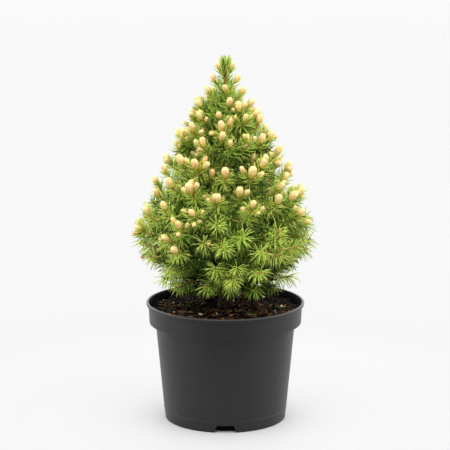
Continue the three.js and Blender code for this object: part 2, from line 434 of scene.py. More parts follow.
class Path:
    """A line in space, measured along its length."""

    def __init__(self, points: Array) -> None:
        """Measures the line through some points."""
        self.points = np.asarray(points, float)
        steps = np.linalg.norm(np.diff(self.points, axis=0), axis=1)
        self.distances = np.concatenate(([0.0], np.cumsum(steps)))
        self.length = float(self.distances[-1])
        self.tangents = unit(np.gradient(self.points, axis=0))
        self.sides = self._turned_least()

    def _turned_least(self) -> Array:
        """Directions across the line that turn as little as they can along it."""
        first = np.cross(self.tangents[0], (0.31, 0.93, 0.17))
        sides = [unit(first)]
        for tangent in self.tangents[1:]:
            side = sides[-1] - tangent * float(sides[-1] @ tangent)
            sides.append(unit(side))
        return np.array(sides)

    def _along(self, rows: Array, distances: Array) -> Array:
        """Reads a value for each point at other distances."""
        return np.stack([np.interp(distances, self.distances, rows[:, k]) for k in range(3)], axis=-1)

    def at(self, distances: Array | float) -> Array:
        """Points at distances along the line."""
        return self._along(self.points, np.asarray(distances, float))

    def frames(self, distances: Array) -> tuple[Array, Array, Array]:
        """Three directions at distances along the line.

        Args:
            distances: Where to read them.

        Returns:
            The direction along the line, and two across it.
        """
        along = unit(self._along(self.tangents, np.asarray(distances, float)))
        side = self._along(self.sides, np.asarray(distances, float))
        side = unit(side - along * np.sum(side * along, axis=-1, keepdims=True))
        return along, side, np.cross(along, side)


@dataclass(frozen=True)
class Template:
    """A small closed shape that is made once and copied many times."""

    corners: Array
    loops: Array
    sizes: Array
    slots: Array

    @classmethod
    def of(cls, shape: bmesh.types.BMesh) -> "Template":
        """Takes the template from a bmesh, and frees it."""
        bmesh.ops.recalc_face_normals(shape, faces=shape.faces)
        shape.verts.index_update()
        corners = np.array([v.co[:] for v in shape.verts])
        loops = np.array([v.index for f in shape.faces for v in f.verts])
        sizes = np.array([len(f.verts) for f in shape.faces])
        slots = np.array([f.material_index for f in shape.faces])
        shape.free()
        return cls(corners, loops, sizes, slots)

    @property
    def triangles(self) -> int:
        """How many triangles one copy has."""
        return int((self.sizes - 2).sum())


class Joined:
    """Many small shapes gathered into one mesh."""

    def __init__(self) -> None:
        """Starts with no shape."""
        self.corners: list[Array] = []
        self.loops: list[Array] = []
        self.sizes: list[Array] = []
        self.slots: list[Array] = []
        self.corner_count = 0
        self.triangles = 0

    def add_faces(self, corners: Array, loops: Array, sizes: Array, slots: Array) -> None:
        """Adds one shape, given by its corners and the corners round each face."""
        self.corners.append(corners)
        self.loops.append(loops + self.corner_count)
        self.sizes.append(sizes)
        self.slots.append(slots)
        self.corner_count += len(corners)
        self.triangles += int((sizes - 2).sum())

    def add(self, template: Template, turns: Array, places: Array, slots: Array | int = 0) -> None:
        """Adds copies of a template.

        Args:
            template: The shape.
            turns: A 3 by 3 matrix for each copy, which turns and sizes it.
            places: Where each copy goes.
            slots: The material slot of each copy, to which its faces' own slots are added.
        """
        copies = len(places)
        corners = np.einsum("nij,vj->nvi", turns, template.corners) + places[:, None]
        shifts = np.arange(copies)[:, None] * len(template.corners)
        loops = (template.loops[None] + shifts).ravel()
        face_slots = (np.broadcast_to(slots, copies)[:, None] + template.slots[None]).ravel()
        self.add_faces(corners.reshape(-1, 3), loops, np.tile(template.sizes, copies), face_slots)

    def add_tube(
        self, path: Path, radii: tuple[float, float], sides: int, rings: int, slot: int = 0
    ) -> None:
        """Adds a closed tapering tube along a path.

        Args:
            path: The tube's middle line.
            radii: Its radius at the start and at the end.
            sides: Facets round it.
            rings: Rings of corners along it.
            slot: The material slot of its faces.
        """
        distances = np.linspace(0, path.length, rings)
        along, side, other = path.frames(distances)
        angles = (np.arange(sides) * (2 * math.pi / sides))[None, :, None]
        radial = np.cos(angles) * side[:, None] + np.sin(angles) * other[:, None]
        radius = np.linspace(radii[0], radii[1], rings)[:, None, None]
        corners = (path.at(distances)[:, None] + radial * radius).reshape(-1, 3)
        ends = np.stack((path.points[0], path.points[-1] + along[-1] * radii[1] * 0.5))
        near = np.arange(sides)
        beside = (near + 1) % sides
        steps = np.arange(rings - 1)[:, None] * sides
        quads = np.stack((steps + near, steps + beside, steps + sides + beside, steps + sides + near), -1)
        foot, tip, top = rings * sides, rings * sides + 1, (rings - 1) * sides
        foot_fan = np.stack((np.full(sides, foot), beside, near), -1)
        tip_fan = np.stack((np.full(sides, tip), top + near, top + beside), -1)
        loops = np.concatenate((quads.ravel(), foot_fan.ravel(), tip_fan.ravel()))
        sizes = np.concatenate((np.full(quads.shape[0] * sides, 4), np.full(2 * sides, 3)))
        self.add_faces(np.concatenate((corners, ends)), loops, sizes, np.full(len(sizes), slot))

    def piece(self, name: str, finishes: Sequence[object], smooth: bool = True) -> bpy.types.Object:
        """Makes the gathered mesh a named piece with its materials."""
        mesh = bpy.data.meshes.new(name)
        corners = np.concatenate(self.corners)
        loops = np.concatenate(self.loops)
        sizes = np.concatenate(self.sizes)
        mesh.vertices.add(len(corners))
        mesh.vertices.foreach_set("co", corners.astype(np.float32).ravel())
        mesh.loops.add(len(loops))
        mesh.loops.foreach_set("vertex_index", loops.astype(np.int32))
        mesh.polygons.add(len(sizes))
        mesh.polygons.foreach_set("loop_start", (np.cumsum(sizes) - sizes).astype(np.int32))
        mesh.polygons.foreach_set("material_index", np.concatenate(self.slots).astype(np.int32))
        mesh.update(calc_edges=True)
        mesh.polygons.foreach_set("use_smooth", np.full(len(sizes), smooth))
        return placed(name, mesh, finishes)


def linked(name: str, data: bpy.types.ID) -> bpy.types.Object:
    """Puts a mesh, a lamp or a camera in the scene."""
    thing = bpy.data.objects.new(name, data)
    bpy.context.scene.collection.objects.link(thing)
    return thing


def placed(name: str, mesh: bpy.types.Mesh, finishes: Sequence[object]) -> bpy.types.Object:
    """Puts a finished mesh in the scene as a piece that rides on the only body."""
    for finish in finishes:
        mesh.materials.append(finish.material())
    piece = linked(name, mesh)
    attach(piece, "root")
    log.info("%s: %d triangles", name, sum(len(p.vertices) - 2 for p in mesh.polygons))
    return piece


def mesh_from(shape: bmesh.types.BMesh, name: str, smooth: bool = True) -> bpy.types.Mesh:
    """Turns a bmesh into a mesh with its faces outward, and frees it."""
    bmesh.ops.recalc_face_normals(shape, faces=shape.faces)
    for face in shape.faces:
        face.smooth = smooth
    mesh = bpy.data.meshes.new(name)
    shape.to_mesh(mesh)
    shape.free()
    return mesh


# ---------------------------------------------------------------------------------------------
# What the CAD frame says
# ---------------------------------------------------------------------------------------------


def node_corners(name: str) -> Array:
    """Every corner of a CAD node."""
    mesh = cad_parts[name].data
    corners = np.empty(len(mesh.vertices) * 3, np.float32)
    mesh.vertices.foreach_get("co", corners)
    return corners.reshape(-1, 3).astype(float)


def joined_tree(names: Sequence[str]) -> BVHTree:
    """The surfaces of some CAD nodes as one, to cast rays at."""
    corners: list[Vector] = []
    faces: list[tuple[int, ...]] = []
    for name in names:
        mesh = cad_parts[name].data
        shift = len(corners)
        corners += [v.co.copy() for v in mesh.vertices]
        faces += [tuple(shift + i for i in p.vertices) for p in mesh.polygons]
    return BVHTree.FromPolygons(corners, faces)


def rings_of(corners: Array, gap: float) -> list[Array]:
    """Splits an upright limb's corners into its rings, from the lowest up."""
    ordered = corners[np.argsort(corners[:, 2])]
    breaks = np.nonzero(np.diff(ordered[:, 2]) > gap)[0] + 1
    return np.split(ordered, breaks)


@dataclass
class Trunk:
    """The line and thickness of the CAD trunk."""

    ring_gap: float = 3 * MM
    line: Path = field(init=False)
    radii: Array = field(init=False)

    def __post_init__(self) -> None:
        """Reads the trunk's rings from its node."""
        rings = rings_of(node_corners("trunk"), self.ring_gap)
        middles = np.array([(ring.min(0) + ring.max(0)) / 2 for ring in rings])
        spans = [np.linalg.norm(ring - middle, axis=1) for ring, middle in zip(rings, middles)]
        self.radii = np.array([span.max() for span in spans])
        self.line = Path(middles)

    def centre(self, height: float) -> Array:
        """The trunk's centre at a height."""
        points = self.line.points
        return np.array([np.interp(height, points[:, 2], points[:, k]) for k in range(3)])

    def radius(self, height: float) -> float:
        """The trunk's radius at a height."""
        return float(np.interp(height, self.line.points[:, 2], self.radii))


@dataclass(frozen=True)
class Bough:
    """One main bough, from the trunk to where it enters its mass."""

    END_DEPTH: ClassVar[float] = 1.5 * MM
    FOOT_DEPTH: ClassVar[float] = 3 * MM

    name: str
    line: Path
    radius: float

    @classmethod
    def read(cls, name: str, trunk: Trunk) -> "Bough":
        """Reads a bough's line and thickness from its node.

        Args:
            name: The node's name.
            trunk: The trunk that the bough grows from.

        Returns:
            The bough, drawn on to the trunk's own centre.
        """
        corners = node_corners(name)
        middle = corners.mean(0)
        outward = unit(np.append(middle[:2], 0.0))
        _, _, axes = np.linalg.svd(corners - middle)
        axis = axes[0] if axes[0] @ outward > 0 else -axes[0]
        reach = (corners - middle) @ axis
        end_ring = corners[reach > reach.max() - cls.END_DEPTH]
        end = end_ring.mean(0)
        radius = float(np.linalg.norm(end_ring - end, axis=1).max())
        foot = corners[reach < reach.min() + cls.FOOT_DEPTH].mean(0)
        start = trunk.centre(foot[2] - cls.FOOT_DEPTH)
        return cls(name, Path(bezier((start, foot, (foot + end) / 2 + UP * MM, end), 9)), radius)


# ---------------------------------------------------------------------------------------------
# Pot and potting mix
# ---------------------------------------------------------------------------------------------


@dataclass(frozen=True)
class Corner:
    """A corner of a turned profile: radius, height, and how far it is rounded."""

    radius: float
    height: float
    round: float = 0.0


def turned(profile: Sequence[Corner], steps: int) -> bmesh.types.BMesh:
    """Spins a profile about the vertical axis, and rounds its corners.

    Args:
        profile: Corners from the axis back to the axis.
        steps: Facets round the axis.

    Returns:
        The closed shape.
    """
    shape = bmesh.new()
    points = [shape.verts.new((corner.radius, 0, corner.height)) for corner in profile]
    edges = [shape.edges.new(pair) for pair in zip(points, points[1:])]
    bmesh.ops.spin(
        shape,
        geom=points + edges,
        cent=(0, 0, 0),
        axis=(0, 0, 1),
        angle=2 * math.pi,
        steps=steps,
        use_merge=True,
    )
    bmesh.ops.remove_doubles(shape, verts=shape.verts, dist=1e-6)
    for corner in profile:
        if corner.round > 0:
            round_ring(shape, corner)
    bmesh.ops.recalc_face_normals(shape, faces=shape.faces)
    return shape


def round_ring(shape: bmesh.types.BMesh, corner: Corner) -> None:
    """Rounds the ring of edges at one corner of a turned shape."""
    near = 1e-5

    def on_ring(vert: bmesh.types.BMVert) -> bool:
        """Whether a vertex lies on the corner's ring."""
        return abs(vert.co.z - corner.height) < near and abs(vert.co.xy.length - corner.radius) < near

    ring = [edge for edge in shape.edges if all(on_ring(vert) for vert in edge.verts)]
    bmesh.ops.bevel(
        shape,
        geom=ring,
        offset=corner.round,
        offset_type="OFFSET",
        segments=3,
        profile=0.5,
        affect="EDGES",
        material=-1,
        clamp_overlap=True,
    )


@dataclass
class Pot:
    """The round nursery pot: a tapering body, a stepped band, a rolled lip and a notched foot.

    A fine raised line runs round it near the foot, and each notch leads to a drain hole in the floor.
    """

    facets: int = 192
    band_depth: float = 25.5 * MM
    band_step: float = 10.7 * MM
    floor: float = 7.6 * MM
    line: float = 13 * MM
    wall: float = 1.3 * MM
    notch_count: int = 4
    notch_height: float = 8.7 * MM
    notch_top: float = 20 * MM
    notch_bottom: float = 26 * MM
    notch_reach: float = 5.2 * MM
    drain_width: float = 14 * MM
    drain_low: float = 6 * MM
    drain_high: float = 11 * MM
    lip_radius: float = field(init=False)
    foot_radius: float = field(init=False)
    height: float = field(init=False)

    def __post_init__(self) -> None:
        """Takes the pot's size from its node, and the foot's from the node's lowest ring."""
        low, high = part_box("pot")
        self.lip_radius = (high.x - low.x) / 2
        self.height = high.z
        corners = node_corners("pot")
        ground = corners[corners[:, 2] < 0.1 * MM]
        self.foot_radius = float(np.linalg.norm(ground[:, :2], axis=1).max())

    def profile(self) -> list[Corner]:
        """The pot's section, from the floor's underside, up the outside and down the inside."""
        foot, lip, top = self.foot_radius, self.lip_radius, self.height
        floor, line = self.floor, self.line
        band = top - self.band_depth
        body_top = lip - self.band_step
        taper = (body_top - foot) / band
        return [
            Corner(0, floor),
            Corner(foot - 11.8 * MM, floor),
            Corner(foot - 11.4 * MM, 0.4 * MM, 0.2 * MM),
            Corner(foot - 7.6 * MM, 0.4 * MM, 0.2 * MM),
            Corner(foot - 7.2 * MM, floor),
            Corner(foot - 2.2 * MM, floor),
            Corner(foot - 2.6 * MM, 0, 0.3 * MM),
            Corner(foot, 0, 0.5 * MM),
            Corner(foot + taper * line - 0.15 * MM, line - 0.4 * MM),
            Corner(foot + taper * line + 0.45 * MM, line, 0.15 * MM),
            Corner(foot + taper * line + 0.2 * MM, line + 0.7 * MM, 0.1 * MM),
            Corner(body_top - 0.1 * MM, band - 0.7 * MM, 1.2 * MM),
            Corner(lip - 3.3 * MM, band - 0.4 * MM, 0.9 * MM),
            Corner(lip - 2.3 * MM, top - 5.2 * MM, 0.7 * MM),
            Corner(lip + 0.3 * MM, top - 3.6 * MM, 0.8 * MM),
            Corner(lip + 0.5 * MM, top - 1.1 * MM, 0.8 * MM),
            Corner(lip - 1.0 * MM, top, 0.6 * MM),
            Corner(lip - 2.3 * MM, top - 0.4 * MM, 0.4 * MM),
            Corner(lip - 3.5 * MM, top - 2.6 * MM, 0.6 * MM),
            Corner(lip - 4.7 * MM, band + 2.2 * MM, 1.0 * MM),
            Corner(body_top - self.wall, band + 1.2 * MM, 1.0 * MM),
            Corner(foot - self.wall + taper * floor, floor + 1.6 * MM, 0.5 * MM),
            Corner(0, floor + 1.6 * MM),
        ]

    def notch(self, turn: float) -> bpy.types.Object:
        """A cutter for one drain notch, wider at the ground, with the drain hole in the floor behind it.

        Args:
            turn: Where the notch is, as an angle round the foot.

        Returns:
            The cutter, at its place.
        """
        shape = bmesh.new()
        bmesh.ops.create_cube(shape, size=1)
        for vert in shape.verts:
            width = self.notch_top if vert.co.z > 0 else self.notch_bottom
            depth = self.notch_reach * (1 if vert.co.y > 0 else -1)
            height = self.notch_height if vert.co.z > 0 else -MM
            vert.co = Vector((width * vert.co.x, depth - self.foot_radius, height))
        drain = bmesh.ops.create_cube(shape, size=1)["verts"]
        for vert in drain:
            across = self.drain_width * vert.co.x
            inward = -self.foot_radius + self.wall + (11 * MM if vert.co.y > 0 else 0.5 * MM)
            vert.co = Vector((across, inward, self.drain_high if vert.co.z > 0 else self.drain_low))
        bmesh.ops.rotate(shape, verts=shape.verts, cent=(0, 0, 0), matrix=Matrix.Rotation(turn, 3, "Z"))
        return linked("notch_cutter", mesh_from(shape, "notch_cutter", False))

    def _notched(self) -> bpy.types.Mesh:
        """Spins the pot and cuts its notches."""
        blank = linked("nursery_pot_blank", mesh_from(turned(self.profile(), self.facets), "nursery_pot"))
        cutters = [self.notch(i * 2 * math.pi / self.notch_count) for i in range(self.notch_count)]
        for cutter in cutters:
            cut = blank.modifiers.new("notch", "BOOLEAN")
            cut.operation = "DIFFERENCE"
            cut.solver = "EXACT"
            cut.use_self = True
            cut.object = cutter
        bpy.context.view_layer.update()
        shown = blank.evaluated_get(bpy.context.evaluated_depsgraph_get())
        mesh = bpy.data.meshes.new_from_object(shown)
        mesh.name = "nursery_pot"
        for spare in (*cutters, blank):
            bpy.data.objects.remove(spare)
        mesh.materials.clear()
        return mesh

    def _is_painted_shade(self, face: bpy.types.MeshPolygon) -> bool:
        """Whether a face is on the inner wall over the mix, or under the floor, where the pot is given
        painted shade.
        """
        outward = Vector((face.center.x, face.center.y, 0))
        if outward.length < self.foot_radius - 1.6 * MM and face.center.z < 9 * MM:
            return True
        over_mix = self.height - 28 * MM < face.center.z < self.height - 0.8 * MM
        return outward.length < self.lip_radius - 2.5 * MM and over_mix and face.normal.dot(outward) < 0

    def build(self) -> bpy.types.Object:
        """Makes the pot and dresses it: satin outside, and a near-black, almost unshining finish as painted
        shade on the inner wall over the mix and under the floor.
        """
        mesh = self._notched()
        for face in mesh.polygons:
            face.material_index = int(self._is_painted_shade(face))
        # painted shade: the inner wall and the underside get a near-black finish with little shine
        painted_shade_finish = PlainFinish("pot_painted_shade", "050505", 0.8, 0.08)
        pot = placed("nursery_pot", mesh, [MouldedPlastic(), painted_shade_finish])
        weighted = pot.modifiers.new("even_shading", "WEIGHTED_NORMAL")
        weighted.keep_sharp = True
        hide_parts("pot")
        return pot


@dataclass
class PottingMix:
    """Damp peat filling the pot, with bark chips, perlite, fibres and a little moss on it.

    The moss grows at some chosen centres, in millimetres from the trunk, and at a few scattered ones.
    """

    facets: int = 160
    rings: int = 62
    mound: float = 2.2 * MM
    lump_height: float = 3.2 * MM
    crumb_height: float = 1.1 * MM
    chips: int = 480
    chip_shapes: int = 5
    grains: int = 66
    fibres: int = 170
    moss_centres: tuple[tuple[float, float], ...] = ((-42, 12), (-34, 16), (35, -33), (67, -2))
    moss_patches: int = 2
    seed: int = 11
    inside: float = field(init=False)
    bottom: float = field(init=False)
    top: float = field(init=False)
    rng: np.random.Generator = field(init=False)

    def __post_init__(self) -> None:
        """Takes the filling's size from its node."""
        low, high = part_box("potting_mix")
        self.inside = (high.x - low.x) / 2
        self.bottom, self.top = low.z, high.z
        self.rng = np.random.default_rng(self.seed)
        noise.seed_set(self.seed)

    def surface(self, x: float, y: float) -> float:
        """The height of the mix at a place: mounded in the middle, with clods and hollows."""
        radius = math.hypot(x, y)
        level = self.top - self.mound * min(1.0, radius / self.inside) - 0.4 * MM
        place = Vector((x, y, 0.0))
        lumps = self.lump_height * noise.fractal(place / 0.017, 0.9, 2.1, 4)
        crumbs = self.crumb_height * noise.fractal(place / 0.0042, 0.8, 2.2, 3)
        return level + lumps + crumbs

    def body(self) -> bpy.types.Object:
        """The body of the mix: a closed plug with a rough top."""
        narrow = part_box("pot")[1].x - 22.8 * MM
        profile = [
            Corner(0.0, self.bottom),
            Corner(narrow, self.bottom),
            Corner(self.inside - 8 * MM, self.top - 17 * MM),
            Corner(self.inside, self.top - 9 * MM),
        ]
        profile += [Corner(self.inside * (1 - i / self.rings), self.top) for i in range(self.rings + 1)]
        shape = turned(profile, self.facets)
        for vert in shape.verts:
            if vert.co.z > self.top - 0.1 * MM:
                vert.co.z = self.surface(vert.co.x, vert.co.y)
        piece = placed("potting_mix_body", mesh_from(shape, "potting_mix_body"), [DampPeat()])
        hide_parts("potting_mix")
        return piece

    def _scattered(self, count: int, edge: float) -> Array:
        """Places on the mix, out to a distance from the pot's wall."""
        radius = (self.inside - edge) * np.sqrt(self.rng.uniform(0.01, 1, count))
        angle = self.rng.uniform(0, 2 * math.pi, count)
        flat = np.stack((radius * np.cos(angle), radius * np.sin(angle)), -1)
        heights = [self.surface(x, y) for x, y in flat]
        return np.column_stack((flat, heights))

    def _turns(self, sizes: Array, tilt: float) -> Array:
        """Random turns about the vertical with some tilt, scaled by three sizes for each copy."""
        turns = []
        for _ in range(len(sizes)):
            roll, pitch = self.rng.normal(0, tilt, 2)
            turns.append(np.array(Euler((roll, pitch, self.rng.uniform(0, 2 * math.pi))).to_matrix()))
        return np.array(turns) * sizes[:, None, :]

    def _lump(self, rough: float, detail: int, seed: int) -> Template:
        """An uneven lump of unit size."""
        shape = bmesh.new()
        bmesh.ops.create_icosphere(shape, subdivisions=detail, radius=0.5)
        for vert in shape.verts:
            push = noise.noise(vert.co * 3.1 + Vector((seed * 7.7, 0, 0)))
            vert.co *= 1 + rough * push
        return Template.of(shape)

    def _shred(self, seed: int) -> Template:
        """A shred of bark of unit size: a bevelled sliver with uneven ends."""
        shape = bmesh.new()
        bmesh.ops.create_cube(shape, size=1)
        lengthwise = [e for e in shape.edges if abs((e.verts[0].co - e.verts[1].co).x) > 0.5]
        bmesh.ops.subdivide_edges(shape, edges=lengthwise, cuts=2)
        for vert in shape.verts:
            spot = Vector((vert.co.x * 2.3 + seed * 5.1, vert.co.y * 2, vert.co.z * 2))
            vert.co += 0.32 * noise.noise_vector(spot)
            if abs(vert.co.x) > 0.35:
                vert.co.y *= 0.55
                vert.co.z *= 0.6
        return Template.of(shape)

    @staticmethod
    def _laid(
        joined: Joined, name: str, finishes: Sequence[object], smooth: bool = True
    ) -> bpy.types.Object:
        """Makes what was gathered a piece that goes with the mix."""
        piece = joined.piece(name, finishes, smooth)
        return piece

    def bark_chips(self) -> bpy.types.Object:
        """Bark chips and shreds lying on the peat."""
        joined = Joined()
        count = self.chips // self.chip_shapes
        for kind in range(self.chip_shapes):
            lengths = self.rng.lognormal(math.log(5.0 * MM), 0.65, count).clip(1.6 * MM, 20 * MM)
            widths = lengths * self.rng.uniform(0.2, 0.6, count)
            thick = np.minimum(lengths * self.rng.uniform(0.18, 0.45, count), 2.8 * MM)
            places = self._scattered(count, 5 * MM)
            places[:, 2] += thick * 0.25
            joined.add(self._shred(kind), self._turns(np.stack((lengths, widths, thick), -1), 0.5), places)
        return self._laid(joined, "bark_chips", [Chip()], smooth=False)

    def perlite(self) -> bpy.types.Object:
        """White perlite grains, mostly half sunk."""
        joined = Joined()
        sizes = self.rng.lognormal(math.log(1.55 * MM), 0.4, (self.grains, 1)).clip(0.8 * MM, 3.4 * MM)
        sizes = sizes * self.rng.uniform(0.75, 1.15, (self.grains, 3))
        places = self._scattered(self.grains, 3 * MM)
        places[:, 2] += sizes[:, 2] * 0.2
        joined.add(self._lump(0.7, 2, 3), self._turns(sizes, 1.0), places)
        return self._laid(joined, "perlite_grains", [PlainFinish("perlite", "e8dfc8", 0.85, 0.2)])

    def stray_fibres(self) -> bpy.types.Object:
        """Root and bark fibres and fallen needles on the surface."""
        joined = Joined()
        for k, place in enumerate(self._scattered(self.fibres, 9 * MM)):
            turn = self.rng.uniform(0, 2 * math.pi)
            length = self.rng.uniform(5, 17) * MM
            ahead = np.array((math.cos(turn), math.sin(turn), 0.0))
            aside = np.array((-ahead[1], ahead[0], 0.0)) * self.rng.normal(0, 0.3)
            lift = UP * self.rng.uniform(0.2, 1.2) * MM
            controls = [place + lift - ahead * length / 2, place + lift * 2 + aside * length]
            path = Path(bezier((*controls, place + lift + ahead * length / 2), 6))
            joined.add_tube(path, (0.35 * MM, 0.18 * MM), 4, 6, k % 3)
        browns = {"tan": "a98252", "red": "7a4c2a", "dark": "3a2416"}
        return self._laid(joined, "stray_fibres", family("fibre", browns, 0.8, 0.2))

    def moss(self) -> bpy.types.Object:
        """Small cushions of moss: many tiny leaves in low tufts."""
        joined = Joined()
        leaf = Needle(0.2, 3).template()
        scattered = self._scattered(self.moss_patches, 16 * MM)[:, :2]
        for centre in (*self.moss_centres, *scattered / MM):
            count = int(self.rng.uniform(160, 320))
            spread = self.rng.uniform(2.5, 5.5) * MM
            flat = np.array(centre) * MM + self.rng.normal(0, spread, (count, 2))
            places = np.array([(x, y, self.surface(x, y) - 0.2 * MM) for x, y in flat])
            lean = self.rng.normal(0, 0.55, (count, 2))
            headings = unit(np.column_stack((lean, np.ones(count))))
            bends = np.full((count, 3), (1.0, 0.3, 0.1))
            lengths = self.rng.uniform(1.2, 2.6, count) * MM
            turns = pointed(headings, bends, 0.5 * MM, 0.5 * MM, lengths)
            joined.add(leaf, turns, places, self.rng.integers(0, 2, count) * 2)
        greens = {"dark": "283a0e", "green": "425a16", "green_low": "364a10", "bright": "627c1e"}
        return self._laid(joined, "moss_tufts", family("moss", greens, 0.8, 0.1))

    def build(self) -> None:
        """Builds the mix and everything that lies on it."""
        self.body()
        self.bark_chips()
        self.perlite()
        self.stray_fibres()
        self.moss()


# ---------------------------------------------------------------------------------------------
# Wood
# ---------------------------------------------------------------------------------------------


@dataclass(frozen=True)
class Limb:
    """A bough, or its branch on through a mass, with its radius at each end.

    Its number makes its bark its own.
    """

    path: Path
    foot_radius: float
    tip_radius: float
    number: int = 0

    def radius_at(self, share: float, angle: float) -> float:
        """The radius at a share of the length, with the collar at the foot and the flakes of the bark."""
        spot = Vector((math.cos(angle) * 1.5 + 9 * self.number, math.sin(angle) * 1.5, share * 11))
        collar = 0.45 * math.exp(-share * 14)
        smooth = self.foot_radius + (self.tip_radius - self.foot_radius) * share
        return smooth * (1 + collar + 0.14 * noise.fractal(spot, 0.8, 2.1, 3))


@dataclass
class Wood:
    """Trunk and boughs with the relief of their bark."""

    trunk: Trunk
    boughs: Sequence[Bough]
    limbs: Sequence[Limb]
    trunk_sides: int = 22
    trunk_rings: int = 150
    limb_sides: int = 10
    limb_rings: int = 26
    flare_height: float = 9 * MM
    flake_height: float = 7 * MM

    @staticmethod
    def _barked(
        shape: bmesh.types.BMesh,
        path: Path,
        radius_at: Callable[[float, float], float],
        sides: int,
        rings: int,
    ) -> None:
        """Adds one limb: a cylinder with many rings, laid along a path and given its relief.

        Args:
            shape: The bmesh to add it to.
            path: The limb's middle line.
            radius_at: Its radius at a share of its length and an angle round it.
            sides: Facets round it.
            rings: Rings along it.
        """
        ordered = list(bmesh.ops.create_circle(shape, cap_ends=True, segments=sides, radius=1)["verts"])
        edges = list({edge for vert in ordered for edge in vert.link_edges})
        for _ in range(rings):
            grown = bmesh.ops.extrude_edge_only(shape, edges=edges)["geom"]
            moved = [part for part in grown if isinstance(part, bmesh.types.BMVert)]
            bmesh.ops.translate(shape, verts=moved, vec=(0, 0, 1 / rings))
            new_edges = [part for part in grown if isinstance(part, bmesh.types.BMEdge)]
            edges = [edge for edge in new_edges if set(edge.verts) <= set(moved)]
            ordered += moved
        bmesh.ops.holes_fill(shape, edges=edges)
        shares = np.array([v.co.z for v in ordered])
        along, side, other = path.frames(shares * path.length)
        centres = path.at(shares * path.length)
        for vert, share, centre, one, two in zip(ordered, shares, centres, side, other):
            angle = math.atan2(vert.co.y, vert.co.x)
            across = math.cos(angle) * one + math.sin(angle) * two
            vert.co = Vector(centre + across * radius_at(float(share), angle))

    def _trunk_radius(self, share: float, angle: float) -> float:
        """The trunk's radius with its lobed flare, ridges and flakes."""
        height = share * self.trunk.line.length
        place = self.trunk.line.at(height)
        slimmer = float(np.interp(share, (0.8, 0.88), (0.96, 0.5)))
        smooth = self.trunk.radius(float(place[2])) * slimmer
        lobes = 1 - 0.12 * (1 - math.cos(4 * angle)) * math.exp(-height / self.flare_height)
        spot = Vector((math.cos(angle) * 2.2, math.sin(angle) * 2.2, height / self.flake_height))
        flakes = noise.fractal(spot * 1.3, 0.8, 2.1, 4)
        return smooth * lobes * (1 + 0.1 * flakes)

    def build(self) -> bpy.types.Object:
        """Builds trunk, boughs and the limbs inside the masses as one piece."""
        shape = bmesh.new()
        self._barked(shape, self.trunk.line, self._trunk_radius, self.trunk_sides, self.trunk_rings)
        for number, limb in enumerate(self.limbs):
            numbered = replace(limb, number=number)
            self._barked(shape, limb.path, numbered.radius_at, self.limb_sides, self.limb_rings)
        piece = placed("bark_wood", mesh_from(shape, "bark_wood"), [RoughBark()])
        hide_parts("trunk", *(bough.name for bough in self.boughs))
        return piece


# ---------------------------------------------------------------------------------------------
# Crown
# ---------------------------------------------------------------------------------------------


def pointed(headings: Array, bends: Array, width: float, depth: float, lengths: Array) -> Array:
    """Matrices that turn a template's Z axis to each heading and its X axis towards a bend.

    Args:
        headings: Where each copy points.
        bends: The way each copy curves.
        width: Its size along its own X.
        depth: Its size along its own Y.
        lengths: Its size along its own Z.

    Returns:
        One 3 by 3 matrix for each copy.
    """
    bends = unit(bends - headings * np.sum(bends * headings, axis=-1, keepdims=True))
    across = np.cross(headings, bends)
    columns = (bends * width, across * depth, headings * np.asarray(lengths)[:, None])
    return np.stack(columns, axis=-1)


@dataclass(frozen=True)
class Needle:
    """One needle of unit length and width, three-sided, bowed along its length."""

    bow: float = 0.75
    sides: int = 3

    def template(self) -> Template:
        """Makes the needle: a point at its foot, two rings and a sharp tip."""
        shape = bmesh.new()
        bmesh.ops.create_cone(
            shape,
            cap_ends=True,
            cap_tris=True,
            segments=self.sides,
            radius1=0.42,
            radius2=0.5,
            depth=0.52,
            matrix=Matrix.Translation((0, 0, 0.36)),
        )
        for face in [face for face in shape.faces if abs(face.normal.z) > 0.9]:
            if face.calc_center_median().z > 0.3:
                bmesh.ops.poke(shape, faces=[face])["verts"][0].co.z = 1.0
            else:
                bmesh.ops.translate(shape, verts=face.verts, vec=(0, 0, -0.1))
        for vert in shape.verts:
            vert.co.x -= self.bow * 4 * vert.co.z * (1 - vert.co.z)
        for face in shape.faces:
            face.material_index = int(face.calc_center_median().z > 0.65)
        return Template.of(shape)


